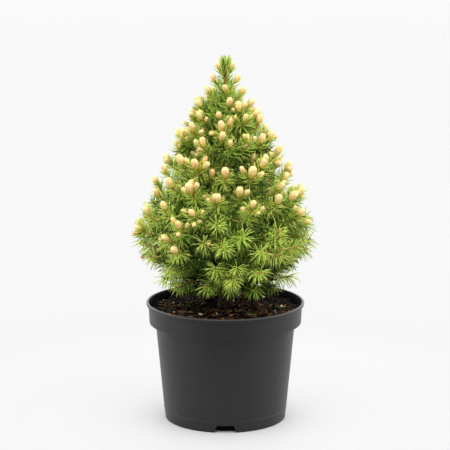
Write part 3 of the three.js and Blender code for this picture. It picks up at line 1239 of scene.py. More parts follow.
@dataclass(frozen=True)
class Bud:
    """One swollen bud of unit length: an egg set all over with the tips of its packed young needles."""

    SHARES: ClassVar[tuple[float, ...]] = (0, 0.1, 0.25, 0.42, 0.6, 0.78, 0.92, 1)
    WIDTHS: ClassVar[tuple[float, ...]] = (0.34, 0.52, 0.78, 0.97, 1.03, 0.93, 0.68, 0.0)

    seed: int
    sides: int = 8
    rings: int = 8
    girth: float = 0.29
    scales: int = 60
    scale_length: float = 0.23
    scale_width: float = 0.11

    def radius(self, share: float) -> float:
        """The egg's radius at a share of its length."""
        return self.girth * float(np.interp(share, self.SHARES, self.WIDTHS))

    def template(self) -> Template:
        """Makes the egg from a sphere, then sets its scales in a spiral."""
        rng = np.random.default_rng(self.seed)
        shape = bmesh.new()
        bmesh.ops.create_uvsphere(shape, u_segments=self.sides, v_segments=self.rings, radius=1)
        for vert in shape.verts:
            share = (vert.co.z + 1) / 2
            heading = Vector((vert.co.x, vert.co.y, 0)).normalized()
            vert.co = heading * self.radius(share) * rng.uniform(0.9, 1.06) + Vector((0, 0, share))
        for face in shape.faces:
            height = face.calc_center_median().z
            face.material_index = int(height > 0.2) + int(height > 0.45)
        for order in range(self.scales):
            share = 0.1 + 0.84 * (order + 0.5) / self.scales
            self._set_scale(shape, share, order * GOLDEN_ANGLE, rng)
        return Template.of(shape)

    def _set_scale(
        self, shape: bmesh.types.BMesh, share: float, turn: float, rng: np.random.Generator
    ) -> None:
        """Sets one needle tip on the egg, lying up along it with its point a little out.

        Args:
            shape: The bud's bmesh.
            share: Where the tip is along the bud, from 0 at its foot to 1.
            turn: Where it is round the bud.
            rng: The bud's own generator.
        """
        tip = bmesh.ops.create_cone(
            shape,
            cap_ends=True,
            segments=3,
            radius1=self.scale_width / 2,
            radius2=0,
            depth=self.scale_length * rng.uniform(0.8, 1.25),
        )["verts"]
        for face in {face for vert in tip for face in vert.link_faces}:
            face.material_index = int(share > 0.16) + int(share > 0.36)
        slope = (self.radius(min(1.0, share + 0.05)) - self.radius(share - 0.05)) / 0.1
        lean = math.atan(slope) * (1 - 1.2 * max(0.0, share - 0.5)) + rng.uniform(0.0, 0.24)
        place = Matrix.Translation((self.radius(share) * 0.95, 0, share + 0.02))
        turned_out = Matrix.Rotation(turn, 4, "Z") @ place @ Matrix.Rotation(lean, 4, "Y")
        bmesh.ops.transform(shape, matrix=turned_out, verts=tip)


@dataclass
class Mass:
    """One CAD mass of needles, and the limb that enters it."""

    name: str
    middle: Array
    surface: BVHTree
    entry: Array
    limb_heading: Array

    def reach(self, direction: Array) -> float:
        """How far the mass goes from its middle in a direction."""
        hit = self.surface.ray_cast(Vector(self.middle), Vector(direction))
        return hit[3] if hit[0] is not None else 0.0

    def holds(self, place: Array, skin: float) -> bool:
        """Whether a place is inside the mass by at least a skin."""
        offset = place - self.middle
        distance = float(np.linalg.norm(offset))
        return distance < 1e-6 or distance < self.reach(offset / distance) - skin


@dataclass(frozen=True)
class Spot:
    """A place for a shoot's tip, the mass that it belongs to, and the way the shoot grows there."""

    mass: str
    place: Array
    heading: Array


@dataclass(frozen=True)
class Shoot:
    """One needle-bearing twig.

    Its needles stand on its leafy length, up to a bare length at its tip, spread from it by an angle
    in radians, and droop by a share of an upright unit. A bud is given by its length.
    """

    path: Path
    radii: tuple[float, float]
    leafy: float
    needle: float
    spread: float
    droop: float
    tint: Tint
    bud: float = 0.0
    bare: float = 0.0


@dataclass(frozen=True)
class LeaderRing:
    """One ring of budded shoots round the leader. Lengths in millimetres, turns in degrees from +X."""

    height: float
    reach: float
    drop: float
    bud: float
    turns: tuple[float, ...]


LEADER_RINGS = (
    LeaderRing(height=422, reach=6.0, drop=11, bud=11.5, turns=(-22, 202)),
    LeaderRing(height=407, reach=10.5, drop=15, bud=12.5, turns=(-4, 184, 90)),
    LeaderRing(height=397, reach=9, drop=14, bud=11.5, turns=(-86,)),
    LeaderRing(height=393, reach=17.5, drop=20, bud=12.5, turns=(-8, 188, 62, 122)),
    LeaderRing(height=381, reach=17, drop=20, bud=13.5, turns=(-82, 150, 36)),
    LeaderRing(height=378, reach=26, drop=28, bud=13.5, turns=(2, 184, 96, -42)),
    LeaderRing(height=367, reach=24, drop=26, bud=12.5, turns=(-108, 70)),
    LeaderRing(height=366, reach=33, drop=34, bud=13.5, turns=(176, 212, -12, 134, 30, 98, -68)),
)


@dataclass(frozen=True)
class Outline:
    """How far the crown goes out from the axis at each height, in millimetres."""

    heights: tuple[float, ...] = (163, 178, 192, 205, 223, 252, 267, 281, 296, 311, 340, 369, 383, 405, 440)
    radii: tuple[float, ...] = (66, 72, 102, 101, 107, 100, 97, 88, 76, 71, 54, 38, 32, 20, 6)

    def radius(self, height: float) -> float:
        """The radius at a height, both in metres."""
        return float(np.interp(height / MM, self.heights, self.radii)) * MM


@dataclass(frozen=True)
class ByHeight:
    """A value that changes with height: shares of the crown's height, and the value at each."""

    shares: tuple[float, ...]
    values: tuple[float, ...]

    def at(self, share: float) -> float:
        """The value at a share of the crown's height."""
        return float(np.interp(share, self.shares, self.values))


@dataclass(frozen=True)
class Habit:
    """How the plant grows, from its skirt to its tip. Lengths in millimetres, angles in degrees."""

    rise: ByHeight = ByHeight(
        (0.0, 0.08, 0.2, 0.3, 0.4, 0.55, 0.75, 0.9, 1.0), (-10, 2, 18, 38, 56, 67, 71, 75, 86)
    )
    spacing: ByHeight = ByHeight((0.1, 0.2, 0.4, 0.6, 0.8, 1), (29, 25.5, 25, 23, 20, 15))
    lift: ByHeight = ByHeight((0.08, 0.25), (1, 0))
    leafy: ByHeight = ByHeight((0.2, 0.5), (24, 46))
    spread: ByHeight = ByHeight((0, 0.35, 0.6, 1), (66, 64, 60, 46))
    droop: ByHeight = ByHeight((0.1, 0.3, 0.5), (0.6, 0.4, 0.0))
    # painted shade, in tints: greens dealt darker at the skirt under the crown and a little darker at the
    # top, where the lamp falls strongest
    brightness: ByHeight = ByHeight((0, 0.07, 0.12, 0.4, 0.6, 1), (-1.1, -0.5, 0.15, 0.05, 0.05, -0.3))
    # painted half shade: the greens of the shoots just under the outer ones, darkest low down
    half_shade: ByHeight = ByHeight((0.1, 0.3, 0.5), (-0.9, 0.2, 1.4))
    bud_chance: ByHeight = ByHeight((0.14, 0.2, 0.3, 0.42, 0.5, 1), (0, 0.16, 0.4, 0.84, 1, 1))
    side_bud_chance: ByHeight = ByHeight((0.3, 0.45), (0.25, 0.65))
    bud_length: ByHeight = ByHeight((0.2, 0.45, 0.65, 1), (14.3, 16.6, 15.0, 13.0))


@dataclass
class Crown:
    """Every shoot of the plant, grown on from the limbs by a seeded rule.

    Between the lowest shoots and the rest, an open band is left clear outside its radius. The tips
    above ringed_from are left to the leader's own rings. A brightness is counted in tints.
    """

    trunk: Trunk
    boughs: Sequence[Bough]
    seed: int = 33
    habit: Habit = Habit()
    outline: Outline = Outline()
    casts: int = 700
    tip_inset: float = 4.5 * MM
    most_filled: float = 16 * MM
    skirt_lift: float = 4 * MM
    ringed_from: float = 372 * MM
    open_band: tuple[float, float] = (171 * MM, 192 * MM)
    open_radius: float = 42 * MM
    shade_gap: float = 0.85
    shade_depths: tuple[float, float] = (15 * MM, 18 * MM)
    needle_length: float = 15.5 * MM
    leafy_share: float = 0.94
    outer_brightness: float = 3.1
    side_brightness: float = 2.2
    leader_brightness: float = 2.9
    fill: int = 7
    core_fill: int = 110
    leader_length: float = 46 * MM
    brush_tufts: int = 6
    bottom: float = field(init=False)
    top: float = field(init=False)
    rng: np.random.Generator = field(init=False)
    everything: BVHTree = field(init=False)
    masses: list[Mass] = field(init=False, default_factory=list)
    limbs: list[Limb] = field(init=False, default_factory=list)
    shoots: dict[str, list[Shoot]] = field(init=False, default_factory=dict)

    def __post_init__(self) -> None:
        """Reads the masses from the frame."""
        self.rng = np.random.default_rng(self.seed)
        names = sorted(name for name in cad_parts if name.startswith("needles_"))
        boxes = [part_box(name) for name in names]
        self.bottom = min(low.z for low, _ in boxes)
        self.top = max(high.z for _, high in boxes)
        lines = {bough.name.replace("bough_", "needles_"): bough.line for bough in self.boughs}
        for name, (low, high) in zip(names, boxes):
            middle = np.array((low + high) / 2)
            if name in lines:
                entry, heading = lines[name].points[-1], lines[name].tangents[-1]
            else:
                entry, heading = self.trunk.centre(low.z), UP
            self.masses.append(Mass(name, middle, joined_tree([name]), entry, heading))
        self.everything = joined_tree(names)

    def share(self, place: Array) -> float:
        """How high a place is in the crown, from 0 at the bottom to 1 at the tip."""
        return float(np.clip((place[2] - self.bottom) / (self.top - self.bottom), 0, 1))

    def heading(self, place: Array, stray: float) -> Array:
        """The way a shoot grows: drooping at the skirt, level at the belly, upright at the tip."""
        rise = math.radians(self.habit.rise.at(self.share(place)))
        outward = unit(np.append(place[:2], 0.0) + self.rng.normal(0, 2 * MM, 3) * (1, 1, 0))
        return unit(math.cos(rise) * outward + math.sin(rise) * UP + self.rng.normal(0, stray, 3))

    def spacing(self, place: Array) -> float:
        """How far apart the outer tips are at a place."""
        return self.habit.spacing.at(self.share(place)) * MM

    def in_open_band(self, place: Array) -> bool:
        """Whether a place is in the gap between the lowest shoots and the rest of the crown."""
        low, high = self.open_band
        return bool(low < place[2] < high and np.linalg.norm(place[:2]) > self.open_radius)

    def settled(self, place: Array) -> Array:
        """Moves a place on a mass most of the way to the crown's outline, where it lies near it."""
        place = place + UP * self.rng.normal(0, 5 * MM)
        radius = float(np.linalg.norm(place[:2]))
        short = self.outline.radius(float(place[2])) + self.rng.normal(0, 2 * MM) - radius
        if short > self.most_filled:
            return place
        return place + np.append(place[:2], 0.0) / radius * short * 0.8

    def outer_places(self) -> list[Spot]:
        """Finds places all over the crown's outside."""
        found: list[Spot] = []
        for mass in self.masses:
            if mass.name == LEADER:
                continue
            for direction in unit(self.rng.normal(0, 1, (self.casts, 3))):
                hit, normal, _, _ = mass.surface.ray_cast(Vector(mass.middle), Vector(direction))
                if hit is None:
                    continue
                place = np.array(hit)
                heading = self.heading(place, 0.1)
                seen_from = unit(unit(place * FLAT) + 0.25 * UP)
                start = hit + Vector(seen_from) * MM
                beyond = self.everything.ray_cast(start, Vector(seen_from))[0]
                if beyond is None and float(np.array(normal) @ seen_from) > 0.1:
                    found.append(Spot(mass.name, self.settled(place), heading))
        return found

    def spread_tips(
        self, found: Sequence[Spot], gap: float, depths: tuple[float, float]
    ) -> dict[str, list[Spot]]:
        """Picks tips at even distances over the crown.

        Args:
            found: Places on the outside, from outer_places.
            gap: The distance between tips, as a share of the outer tips' own.
            depths: How far the tips lie in from the surface towards the trunk, low down and high up.

        Returns:
            The tips of each mass.
        """
        tips: dict[str, list[Spot]] = {mass.name: [] for mass in self.masses}
        kept = np.empty((0, 3))
        for index in self.rng.permutation(len(found)):
            spot = found[index]
            place, share = spot.place, self.share(spot.place)
            ringed = depths[0] == 0 and place[2] > self.ringed_from
            if ringed or self.in_open_band(place):
                continue
            if len(kept) and np.min(np.linalg.norm(kept - place, axis=1)) < self.spacing(place) * gap:
                continue
            kept = np.vstack((kept, place))
            inward = unit(place * FLAT) * float(np.interp(share, (0.3, 0.5), depths))
            lifted = UP * self.skirt_lift * self.habit.lift.at(share)
            tip = place - spot.heading * self.tip_inset - inward + lifted
            tips[spot.mass].append(replace(spot, place=tip))
        log.info("tips %.0f mm in: %d", depths[0] / MM, len(kept))
        return tips

    def main_limb(self, mass: Mass) -> Path:
        """The bough's own line on through its mass."""
        if mass.name == LEADER:
            length = self.trunk.line.length
            return Path(self.trunk.line.at(np.linspace(length - self.leader_length, length, 9)))
        ahead = self.heading(mass.middle, 0.05)
        tip = mass.middle + ahead * (mass.reach(ahead) - self.tip_inset - 2 * MM)
        distance = float(np.linalg.norm(tip - mass.entry))
        leaving = mass.entry + mass.limb_heading * distance * 0.4
        return Path(bezier((mass.entry, leaving, tip - ahead * distance * 0.3, tip), 12))

    def twig_path(self, limb: Path, tip: Array, heading: Array) -> Path:
        """A twig's curve from the best place on a limb to its tip.

        Args:
            limb: The limb that it grows from.
            tip: Where it ends.
            heading: Which way it points there.

        Returns:
            Its curve. The best start makes a natural angle with the limb, is near, and needs little bend.
        """
        stations = limb.length * np.linspace(0.0, 0.85, 14)
        starts = limb.at(stations)
        along = limb.frames(stations)[0]
        reach = tip - starts
        distances = np.linalg.norm(reach, axis=1)
        angles = np.arccos(np.clip(np.sum(unit(reach) * along, axis=1), -1, 1))
        astray = 1 - unit(reach) @ heading
        best = int(np.argmin((angles - 0.7) ** 2 + 0.5 * (distances / 0.08) ** 2 + 0.8 * astray))
        start, distance = starts[best], distances[best]
        leaving = unit(0.5 * along[best] + unit(reach[best]))
        from_below = unit(heading + 0.8 * max(0.0, self.share(tip) - 0.3) * UP)
        controls = (start, start + leaving * distance * 0.3, tip - from_below * distance * 0.55, tip)
        return Path(bezier(controls, 10))

    def bud_size(self, place: Array, chance: float = 1.0) -> float:
        """A bud's length at a shoot's tip, or nothing where the shoot has none."""
        share = self.share(place)
        if self.rng.uniform() > self.habit.bud_chance.at(share) * chance:
            return 0.0
        return self.habit.bud_length.at(share) * self.rng.uniform(0.72, 1.02) * MM

    def tint(self, place: Array, brightness: float) -> Tint:
        """Deals a shoot its green: brighter outside and low down above the skirt, darker at the skirt
        itself, with some chance. The steps by place are painted light and shade.
        """
        level = brightness + self.habit.brightness.at(self.share(place)) + self.rng.normal(0, 0.5)
        return list(Tint)[int(np.clip(round(level), 0, len(Tint) - 1))]

    def dark_tint(self, darkest: float) -> Tint:
        """Deals an old shoot one of the two darkest greens, the darkest with a given chance: partly the
        darker green of old needles, partly painted shade deep in the crown.
        """
        return Tint.DEEP if self.rng.uniform() < darkest else Tint.SHADED

    def outer_shoot(self, path: Path, place: Array) -> Shoot:
        """The shoot that ends at an outer tip."""
        share = self.share(place)
        return Shoot(
            path=path,
            radii=(1.45 * MM, 1.05 * MM),
            leafy=min(path.length * self.leafy_share, self.habit.leafy.at(share) * MM),
            needle=self.needle_length * self.rng.uniform(0.95, 1.1),
            spread=math.radians(self.habit.spread.at(share)),
            droop=self.habit.droop.at(share),
            tint=self.tint(place, self.outer_brightness),
            bud=self.bud_size(place),
        )

    def older_part(self, shoot: Shoot) -> Iterator[Shoot]:
        """The last year's length of a shoot, behind the new one, with darker needles."""
        left = min(shoot.path.length * self.leafy_share - shoot.leafy, 26 * MM)
        if left > 5 * MM:
            darker = list(Tint)[max(0, shoot.tint.number - 1)]
            yield replace(shoot, leafy=left, bare=shoot.leafy, bud=0.0, tint=darker, droop=shoot.droop / 2)

    def under_shoot(self, path: Path) -> Shoot:
        """A shoot just under the outer ones, dealt a darker green as painted half shade."""
        tip = path.points[-1]
        return Shoot(
            path=path,
            radii=(0.95 * MM, 0.75 * MM),
            leafy=min(path.length * self.leafy_share, self.rng.uniform(28, 38) * MM),
            needle=self.needle_length * self.rng.uniform(0.85, 1.05),
            spread=math.radians(63),
            droop=0.08,
            tint=self.tint(tip, self.habit.half_shade.at(self.share(tip))),
        )

    def side_shoots(self, mass: Mass, parent: Shoot) -> Iterator[Shoot]:
        """A few shorter shoots along the sides of an outer one.

        Args:
            mass: The mass that holds their tips.
            parent: The shoot that they grow from.

        Yields:
            Each shoot, with a small bud or none.
        """
        path = parent.path
        back = self.rng.uniform(16, 23) * MM
        turn = self.rng.uniform(0, 2 * math.pi)
        most = 3 if self.share(path.points[-1]) < 0.4 else 2
        for _ in range(self.rng.integers(0, most)):
            along, side, other = (axis[0] for axis in path.frames(np.array([path.length - back])))
            across = math.cos(turn) * side + math.sin(turn) * other
            angle = math.radians(self.rng.uniform(36, 48))
            away = unit(math.cos(angle) * along + math.sin(angle) * across)
            start = path.at(path.length - back)
            length = self.rng.uniform(11, 16) * MM
            ahead = unit(away + 0.6 * along)
            end = start + ahead * length
            if back < path.length * 0.85 and mass.holds(end, 1 * MM):
                controls = (start, start + away * length * 0.45, end - ahead * length * 0.2, end)
                line = Path(bezier(controls, 6))
                chance = self.habit.side_bud_chance.at(self.share(end))
                yield Shoot(
                    path=line,
                    radii=(0.85 * MM, 0.65 * MM),
                    leafy=line.length * 0.95,
                    needle=self.needle_length * self.rng.uniform(0.8, 1.0),
                    spread=parent.spread,
                    droop=parent.droop,
                    # painted shade: a darker green the farther back along the parent the shoot grows
                    tint=self.tint(end, self.side_brightness - 30 * back),
                    bud=0.75 * self.bud_size(end, chance),
                )
            turn += self.rng.uniform(1.8, 2.7)
            back += self.rng.uniform(9, 14) * MM

    def spurs(self, parent: Shoot) -> Iterator[Shoot]:
        """Very short shoots beside a budded tip and in front of it, each with a smaller bud."""
        path = parent.path
        along = path.tangents[-1]
        front = unit(path.points[-1] * FLAT) + 0.3 * UP
        front = unit(front - along * (front @ along))
        aside = np.cross(along, front) * self.rng.choice((-1, 1))
        ways = [aside, -aside, front, -front]
        for across in ways[: self.rng.choice(5, p=(0.2, 0.24, 0.34, 0.17, 0.05))]:
            back = self.rng.uniform(3, 8) * MM
            angle = math.radians(self.rng.uniform(46, 68))
            strayed = unit(across + self.rng.normal(0, 0.25, 3))
            away = unit(math.cos(angle) * along + math.sin(angle) * strayed)
            start = path.at(path.length - back)
            length = self.rng.uniform(7, 11.5) * MM
            lifted = start + away * length + along * 1.5 * MM
            line = Path(bezier((start, start + away * length * 0.6, lifted), 5))
            yield Shoot(
                path=line,
                radii=(0.85 * MM, 0.75 * MM),
                leafy=line.length * 0.95,
                needle=self.needle_length * 0.72,
                spread=parent.spread * 0.6,
                droop=0.0,
                tint=parent.tint,
                bud=parent.bud * self.rng.uniform(0.62, 0.82),
            )

    def fill_shoots(self, mass: Mass, limb: Path) -> Iterator[Shoot]:
        """Old shaded shoots along the limb, inside the mass."""
        for direction in unit(self.rng.normal(0, 1, (self.fill, 3))):
            tip = mass.middle + direction * mass.reach(direction) * self.rng.uniform(0.25, 0.68)
            heading = unit(direction + unit(np.append(tip[:2], 0.0)) + 0.4 * UP)
            path = self.twig_path(limb, tip, heading)
            if path.length > 8 * MM and not self.in_open_band(tip):
                yield Shoot(
                    path=path,
                    radii=(0.9 * MM, 0.65 * MM),
                    leafy=min(path.length * 0.92, 34 * MM),
                    needle=self.needle_length,
                    spread=math.radians(64),
                    droop=0.06,
                    tint=self.dark_tint(0.45),
                )

    def core_shoots(self) -> Iterator[Shoot]:
        """Old shaded shoots straight from the trunk, deep in the crown."""
        low, high = self.bottom + 12 * MM, self.top - 70 * MM
        for order in range(self.core_fill):
            height = low + (high - low) * (order + self.rng.uniform(0, 1)) / self.core_fill
            turn = GOLDEN_ANGLE * order
            away = unit(np.array((math.cos(turn), math.sin(turn), self.rng.uniform(-0.1, 0.7))))
            length = min(46 * MM, 0.34 * (self.top - height)) * self.rng.uniform(0.6, 1.1)
            start = self.trunk.centre(height)
            end = start + away * length + UP * 0.15 * length
            line = Path(bezier((start, start + away * length * 0.6, end), 5))
            yield Shoot(
                path=line,
                radii=(0.9 * MM, 0.6 * MM),
                leafy=line.length * 0.9,
                needle=self.needle_length,
                spread=math.radians(66),
                droop=0.05,
                tint=self.dark_tint(0.6),
            )

    def leader_brush(self, limb: Path) -> Iterator[Shoot]:
        """The leader's own needles, and a tuft of upright ones that closes it."""
        leader = Shoot(limb, (1.5 * MM, 1.1 * MM), limb.length, 13.5 * MM, math.radians(40), 0.0, Tint.LEAF)
        yield leader
        for order in range(self.brush_tufts):
            turn = 2 * math.pi * order / self.brush_tufts
            lean = np.array((math.cos(turn), math.sin(turn), 0.0))
            foot = limb.at(limb.length - 12 * MM)
            end = limb.points[-1] + lean * 3.2 * MM
            tuft = Path(bezier((foot, foot + UP * 4 * MM, end - UP * 3 * MM, end), 6))
            yield replace(
                leader,
                path=tuft,
                radii=(0.9 * MM, 0.7 * MM),
                leafy=tuft.length * 0.6,
                needle=14.5 * MM,
                spread=math.radians(11),
                tint=Tint.LEAF if order % 2 else Tint.SHADED,
            )

    def leader_rings(self) -> Iterator[Shoot]:
        """The rings of budded shoots round the leader, with a spur on each of the longer ones."""
        for ring in LEADER_RINGS:
            for order, turn in enumerate(ring.turns):
                angle = math.radians(turn + self.rng.uniform(-8, 8))
                out = np.array((math.cos(angle), math.sin(angle), 0.0))
                foot = self.trunk.centre((ring.height - ring.drop) * MM)
                tip = self.trunk.centre(ring.height * MM) + out * ring.reach * MM
                heading = unit(out * 0.75 + UP)
                leaving = foot + unit(out + UP) * 3 * MM
                path = Path(bezier((foot, leaving, tip - heading * ring.reach * 0.4 * MM, tip), 7))
                shoot = Shoot(
                    path=path,
                    radii=(1.0 * MM, 0.85 * MM),
                    leafy=path.length * 0.92,
                    needle=13 * MM,
                    spread=math.radians(44),
                    droop=0.0,
                    tint=self.tint(tip, self.leader_brightness),
                    bud=ring.bud * MM * (1 - 0.06 * order),
                )
                yield shoot
                if ring.reach > 12:
                    yield from list(self.spurs(shoot))[:1]

    def grow(self) -> None:
        """Grows every shoot of every mass."""
        found = self.outer_places()
        tips = self.spread_tips(found, 1.0, (0.0, 0.0))
        shaded_tips = self.spread_tips(found, self.shade_gap, self.shade_depths)
        for mass in self.masses:
            limb = self.main_limb(mass)
            grown: list[Shoot] = []
            for tip in tips[mass.name]:
                shoot = self.outer_shoot(self.twig_path(limb, tip.place, tip.heading), tip.place)
                grown.append(shoot)
                grown += self.side_shoots(mass, shoot)
                grown += self.older_part(shoot)
                if shoot.bud > 0:
                    grown += self.spurs(shoot)
            for tip in shaded_tips[mass.name]:
                grown.append(self.under_shoot(self.twig_path(limb, tip.place, tip.heading)))
            if mass.name == LEADER:
                grown += self.leader_brush(limb)
                grown += self.leader_rings()
            else:
                self.limbs.append(Limb(limb, 1.9 * MM, 0.9 * MM))
                grown.append(self.outer_shoot(limb, limb.points[-1]))
                grown += self.fill_shoots(mass, limb)
            self.shoots[mass.name] = grown
        self.shoots[LEADER] += self.core_shoots()
        log.info("shoots: %d", sum(len(grown) for grown in self.shoots.values()))


@dataclass
class Foliage:
    """The pieces of a grown crown: needles, twigs and buds, each kind apart."""

    BUD_TONES: ClassVar[dict[str, tuple[str, str, str]]] = {
        "peach": ("ce902c", "f5c762", "f4d092"),
        "cream": ("d09834", "f7ce6c", "f8d89c"),
        "straw": ("bc982e", "ebc75c", "eed696"),
    }
    CLOSED_TONES: ClassVar[tuple[str, str, str]] = ("84562a", "9c7434", "b3a04a")
    BUD_BANDS: ClassVar[tuple[str, str, str]] = ("foot", "middle", "tip")

    crown: Crown
    needle_width: float = 1.12 * MM
    needles_per_metre: float = 1600.0
    parting: float = 1.0
    open_length: float = 11 * MM
    bud_kinds: int = 5
    closed_bud: float = 2.8 * MM
    piece_limit: int = 185_000

    def needles_on(self, shoot: Shoot, joined: Joined, template: Template) -> None:
        """Sets the needles of one shoot, in a spiral that closes up round its tip.

        Args:
            shoot: The shoot.
            joined: What the needles are gathered in.
            template: One needle.
        """
        rng = self.crown.rng
        count = max(6, round(shoot.leafy * self.needles_per_metre))
        order = np.arange(count)
        position = (order + rng.uniform(0, 1, count)) / count
        distances = shoot.path.length - shoot.bare - shoot.leafy * (1 - position)
        along, side, other = shoot.path.frames(distances)
        places = shoot.path.at(distances)
        outward = unit(places * FLAT) + 0.3 * UP
        outward = outward - along * np.sum(outward * along, axis=1, keepdims=True)
        faced = np.arctan2(np.sum(outward * other, axis=1), np.sum(outward * side, axis=1))
        open_share = np.clip((shoot.path.length - distances) / self.open_length, 0, 1)
        parted = np.clip(np.linalg.norm(outward, axis=1) / 0.7 - 0.4, 0, 1) * self.parting * open_share
        angles = (GOLDEN_ANGLE * order + rng.normal(0, 0.12, count)) % (2 * math.pi) - math.pi
        angles = faced + np.sign(angles) * (parted + (1 - parted / math.pi) * np.abs(angles))
        closed = 0.4 if shoot.bud > 0 else 0.65
        spread = shoot.spread * (closed + (1 - closed) * open_share) * rng.normal(1, 0.06, count)
        radial = np.cos(angles)[:, None] * side + np.sin(angles)[:, None] * other
        headings = np.cos(spread)[:, None] * along + np.sin(spread)[:, None] * radial
        headings = unit(headings - UP * shoot.droop * rng.uniform(0.7, 1.3, count)[:, None])
        lengths = shoot.needle * (0.88 + 0.12 * np.sin(math.pi * position)) * rng.uniform(0.88, 1.08, count)
        places += radial * shoot.radii[1] * 0.6
        bends = along * (1 - 2 * shoot.droop) - UP * 3 * shoot.droop
        turns = pointed(headings, bends, self.needle_width, self.needle_width, lengths)
        # painted shade: needles on the inward side of a parted shoot are dealt one tint darker
        behind = (np.abs((angles - faced + math.pi) % (2 * math.pi) - math.pi) > 1.7) & (parted > 0)
        luck = rng.uniform(0, 1, count)
        change = (luck > 0.9).astype(int) - (luck < 0.25) - behind
        numbers = np.clip(shoot.tint.number + change, 0, len(Tint) - 1)
        joined.add(template, turns, places, 2 * numbers)

    def needles(self) -> None:
        """Makes the needles of whole masses into pieces, none of them too large."""
        template = Needle().template()
        joined, names, number = Joined(), [], 1
        for mass in sorted(self.crown.masses, key=lambda mass: mass.middle[2]):
            grown = self.crown.shoots[mass.name]
            count = sum(round(shoot.leafy * self.needles_per_metre) for shoot in grown)
            if names and joined.triangles + count * template.triangles > self.piece_limit:
                self._finish_needles(joined, names, number)
                joined, names, number = Joined(), [], number + 1
            for shoot in grown:
                self.needles_on(shoot, joined, template)
            names.append(mass.name)
        self._finish_needles(joined, names, number)

    @staticmethod
    def _finish_needles(joined: Joined, names: Sequence[str], number: int) -> None:
        """Makes one piece of needles that stands for some masses."""
        piece = joined.piece(f"needle_sprays_{number}", green_finishes())
        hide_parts(*names)

    def _twigs(self) -> list[Shoot]:
        """Every shoot that is a twig of its own, and not the older part of one."""
        return [shoot for grown in self.crown.shoots.values() for shoot in grown if shoot.bare == 0]

    def twigs(self) -> bpy.types.Object:
        """The twigs of every shoot, as one piece."""
        joined = Joined()
        for shoot in self._twigs():
            rings = max(3, min(8, round(shoot.path.length / (6 * MM))))
            joined.add_tube(shoot.path, shoot.radii, 5, rings, int(self.crown.rng.integers(0, 3)))
        browns = {"rust": "a46e3e", "brown": "8e5e34", "tan": "ba9058"}
        piece = joined.piece("twigs", family("twig", browns, 0.7, 0.2))
        return piece

    def buds(self) -> bpy.types.Object:
        """The swollen buds at the shoots' tips and the small closed ones of the rest, as one piece."""
        joined = Joined()
        swollen = [shoot for shoot in self._twigs() if shoot.bud > 0]
        for kind in range(self.bud_kinds):
            self._set_buds(joined, Bud(kind).template(), swollen[kind :: self.bud_kinds])
        closed = [shoot for shoot in self._twigs() if shoot.bud <= 0]
        self._set_buds(joined, Bud(0, sides=6, rings=4, scales=0).template(), closed, self.closed_bud)
        finishes = []
        for tone, colours in self.BUD_TONES.items():
            finishes += family(f"bud_{tone}", dict(zip(self.BUD_BANDS, colours)), 0.6, 0.3)
        finishes += family("bud_closed", dict(zip(self.BUD_BANDS, self.CLOSED_TONES)), 0.5, 0.4)
        piece = joined.piece("buds", finishes)
        log.info("swollen buds: %d", len(swollen))
        return piece

    def _set_buds(
        self, joined: Joined, template: Template, shoots: Sequence[Shoot], size: float = 0.0
    ) -> None:
        """Sets one kind of bud on the tips of some shoots.

        Args:
            joined: What the buds are gathered in.
            template: One bud.
            shoots: The shoots.
            size: The length of closed buds, or nothing for swollen ones of the shoots' own lengths.
        """
        rng, count = self.crown.rng, len(shoots)
        ends = np.array([shoot.path.points[-1] for shoot in shoots])
        headings = np.array([shoot.path.tangents[-1] for shoot in shoots])
        lengths = np.array([size or shoot.bud for shoot in shoots])
        headings = unit(headings + 0.12 * UP + rng.normal(0, 0.06, headings.shape))
        slender = np.ones(count) if size else np.interp(lengths, (7 * MM, 14 * MM), (0.7, 0.9))
        girths = lengths * slender * rng.uniform(0.93, 1.1, count)
        turns = pointed(headings, rng.normal(0, 1, headings.shape), 1.0, 1.0, lengths)
        turns[:, :, :2] *= girths[:, None, None]
        bands = len(self.BUD_BANDS)
        tones = np.full(count, len(self.BUD_TONES)) if size else rng.integers(0, len(self.BUD_TONES), count)
        joined.add(template, turns, ends - headings * 0.02 * lengths[:, None], bands * tones)

    def build(self) -> None:
        """Makes all the pieces."""
        self.needles()
        self.twigs()
        self.buds()


# ---------------------------------------------------------------------------------------------
# Studio
# ---------------------------------------------------------------------------------------------


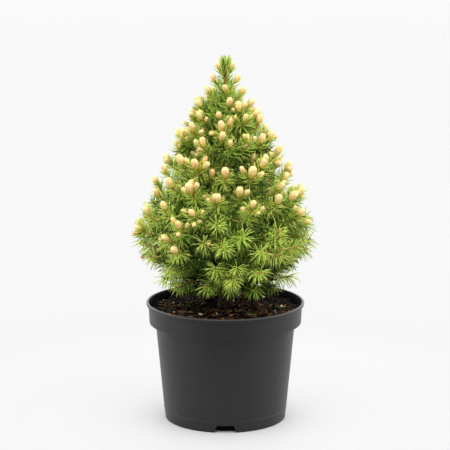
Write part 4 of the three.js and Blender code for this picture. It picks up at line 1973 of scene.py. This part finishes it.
@dataclass
class Studio:
    """A pale seamless floor, even light from all round, one soft lamp and the camera.

    The light from all round grows from its strength low in front to that above, beside and behind.
    The lamp is a patch of the ceiling, given by its heading from the plant and how wide it looks, in
    degrees.
    """

    camera_distance: float = 2.005
    camera_height: float = 0.625
    camera_side: float = -0.00034
    camera_pitch: float = 10.97
    lens: float = 136.35
    floor_size: float = 60.0
    floor_front: float = -0.38
    front_light: float = 0.3
    round_light: float = 2.47
    round_from: float = 0.05
    lamp_heading: tuple[float, float, float] = (0.07, -0.42, 1.0)
    lamp_width: float = 80
    lamp_strength: float = 1.95

    def camera(self) -> None:
        """Sets the camera in front of the pot, looking a little down."""
        camera = bpy.data.cameras.new("camera")
        camera.lens = self.lens
        camera.sensor_width = 36.0
        camera.clip_end = 200.0
        stand = linked("camera", camera)
        stand.location = (self.camera_side, -self.camera_distance, self.camera_height)
        stand.rotation_euler = (math.radians(90 - self.camera_pitch), 0, 0)
        bpy.context.scene.camera = stand

    def floor(self) -> None:
        """Lays the floor that the pot stands on."""
        shape = bmesh.new()
        bmesh.ops.create_grid(shape, x_segments=1, y_segments=1, size=self.floor_size / 2)
        bmesh.ops.translate(shape, verts=shape.verts, vec=(0, self.floor_size / 2 + self.floor_front, 0))
        mesh = mesh_from(shape, "floor", False)
        mesh.materials.append(Paper().material())
        linked("floor", mesh)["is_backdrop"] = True

    def lamp(self) -> None:
        """Lights the scene evenly from one wide patch of the ceiling."""
        light = bpy.data.lights.new("softbox", "SUN")
        light.angle = math.radians(self.lamp_width)
        light.energy = self.lamp_strength
        lamp = linked("softbox", light)
        lamp.rotation_euler = Vector(self.lamp_heading).to_track_quat("Z", "Y").to_euler()

    def world(self) -> None:
        """Lights the scene from all round: less from low in front than from anywhere else."""
        world = bpy.data.worlds.new("studio")
        world.use_nodes = True
        nodes = Nodes(world.node_tree)
        heading = nodes.node("ShaderNodeTexCoord").outputs["Generated"]
        parts = nodes.node("ShaderNodeSeparateXYZ", {}, {"Vector": heading})
        back_and_up = Value(nodes, parts.outputs["Y"]) + Value(nodes, parts.outputs["Z"]) * 0.5
        ends = {"From Min": -1.0, "From Max": self.round_from}
        lights = {"To Min": self.front_light, "To Max": self.round_light}
        settings = {"interpolation_type": "SMOOTHSTEP"}
        fade = nodes.node("ShaderNodeMapRange", settings, {"Value": back_and_up, **ends, **lights})
        background = world.node_tree.nodes["Background"]
        nodes.feed(background, "Color", (1, 1, 1, 1))
        nodes.feed(background, "Strength", fade.outputs[0])
        bpy.context.scene.world = world

    def build(self) -> None:
        """Sets the whole studio."""
        bpy.context.scene.view_settings.view_transform = "Standard"
        self.camera()
        self.floor()
        self.world()
        self.lamp()


def write_sizes() -> None:
    """Gathers the CAD model's box and the visual model's box as plain lists, without writing them anywhere.
    """
    boxes = {"cad": CAD_BOX, "visual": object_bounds()}
    plain = {name: [[float(x) for x in corner] for corner in box] for name, box in boxes.items()}


def main() -> None:
    """Builds the whole scene, from the pot up."""
    logging.basicConfig(level=logging.INFO, format="%(name)s: %(message)s")
    trunk = Trunk()
    boughs = [Bough.read(name, trunk) for name in sorted(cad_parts) if name.startswith("bough_")]
    Studio().build()
    Pot().build()
    PottingMix().build()
    crown = Crown(trunk, boughs)
    crown.grow()
    Foliage(crown).build()
    limbs = [Limb(bough.line, bough.radius * 1.3, bough.radius * 0.95) for bough in boughs]
    Wood(trunk, boughs, [*limbs, *crown.limbs]).build()
    write_sizes()


if __name__ == "__main__":
    main()
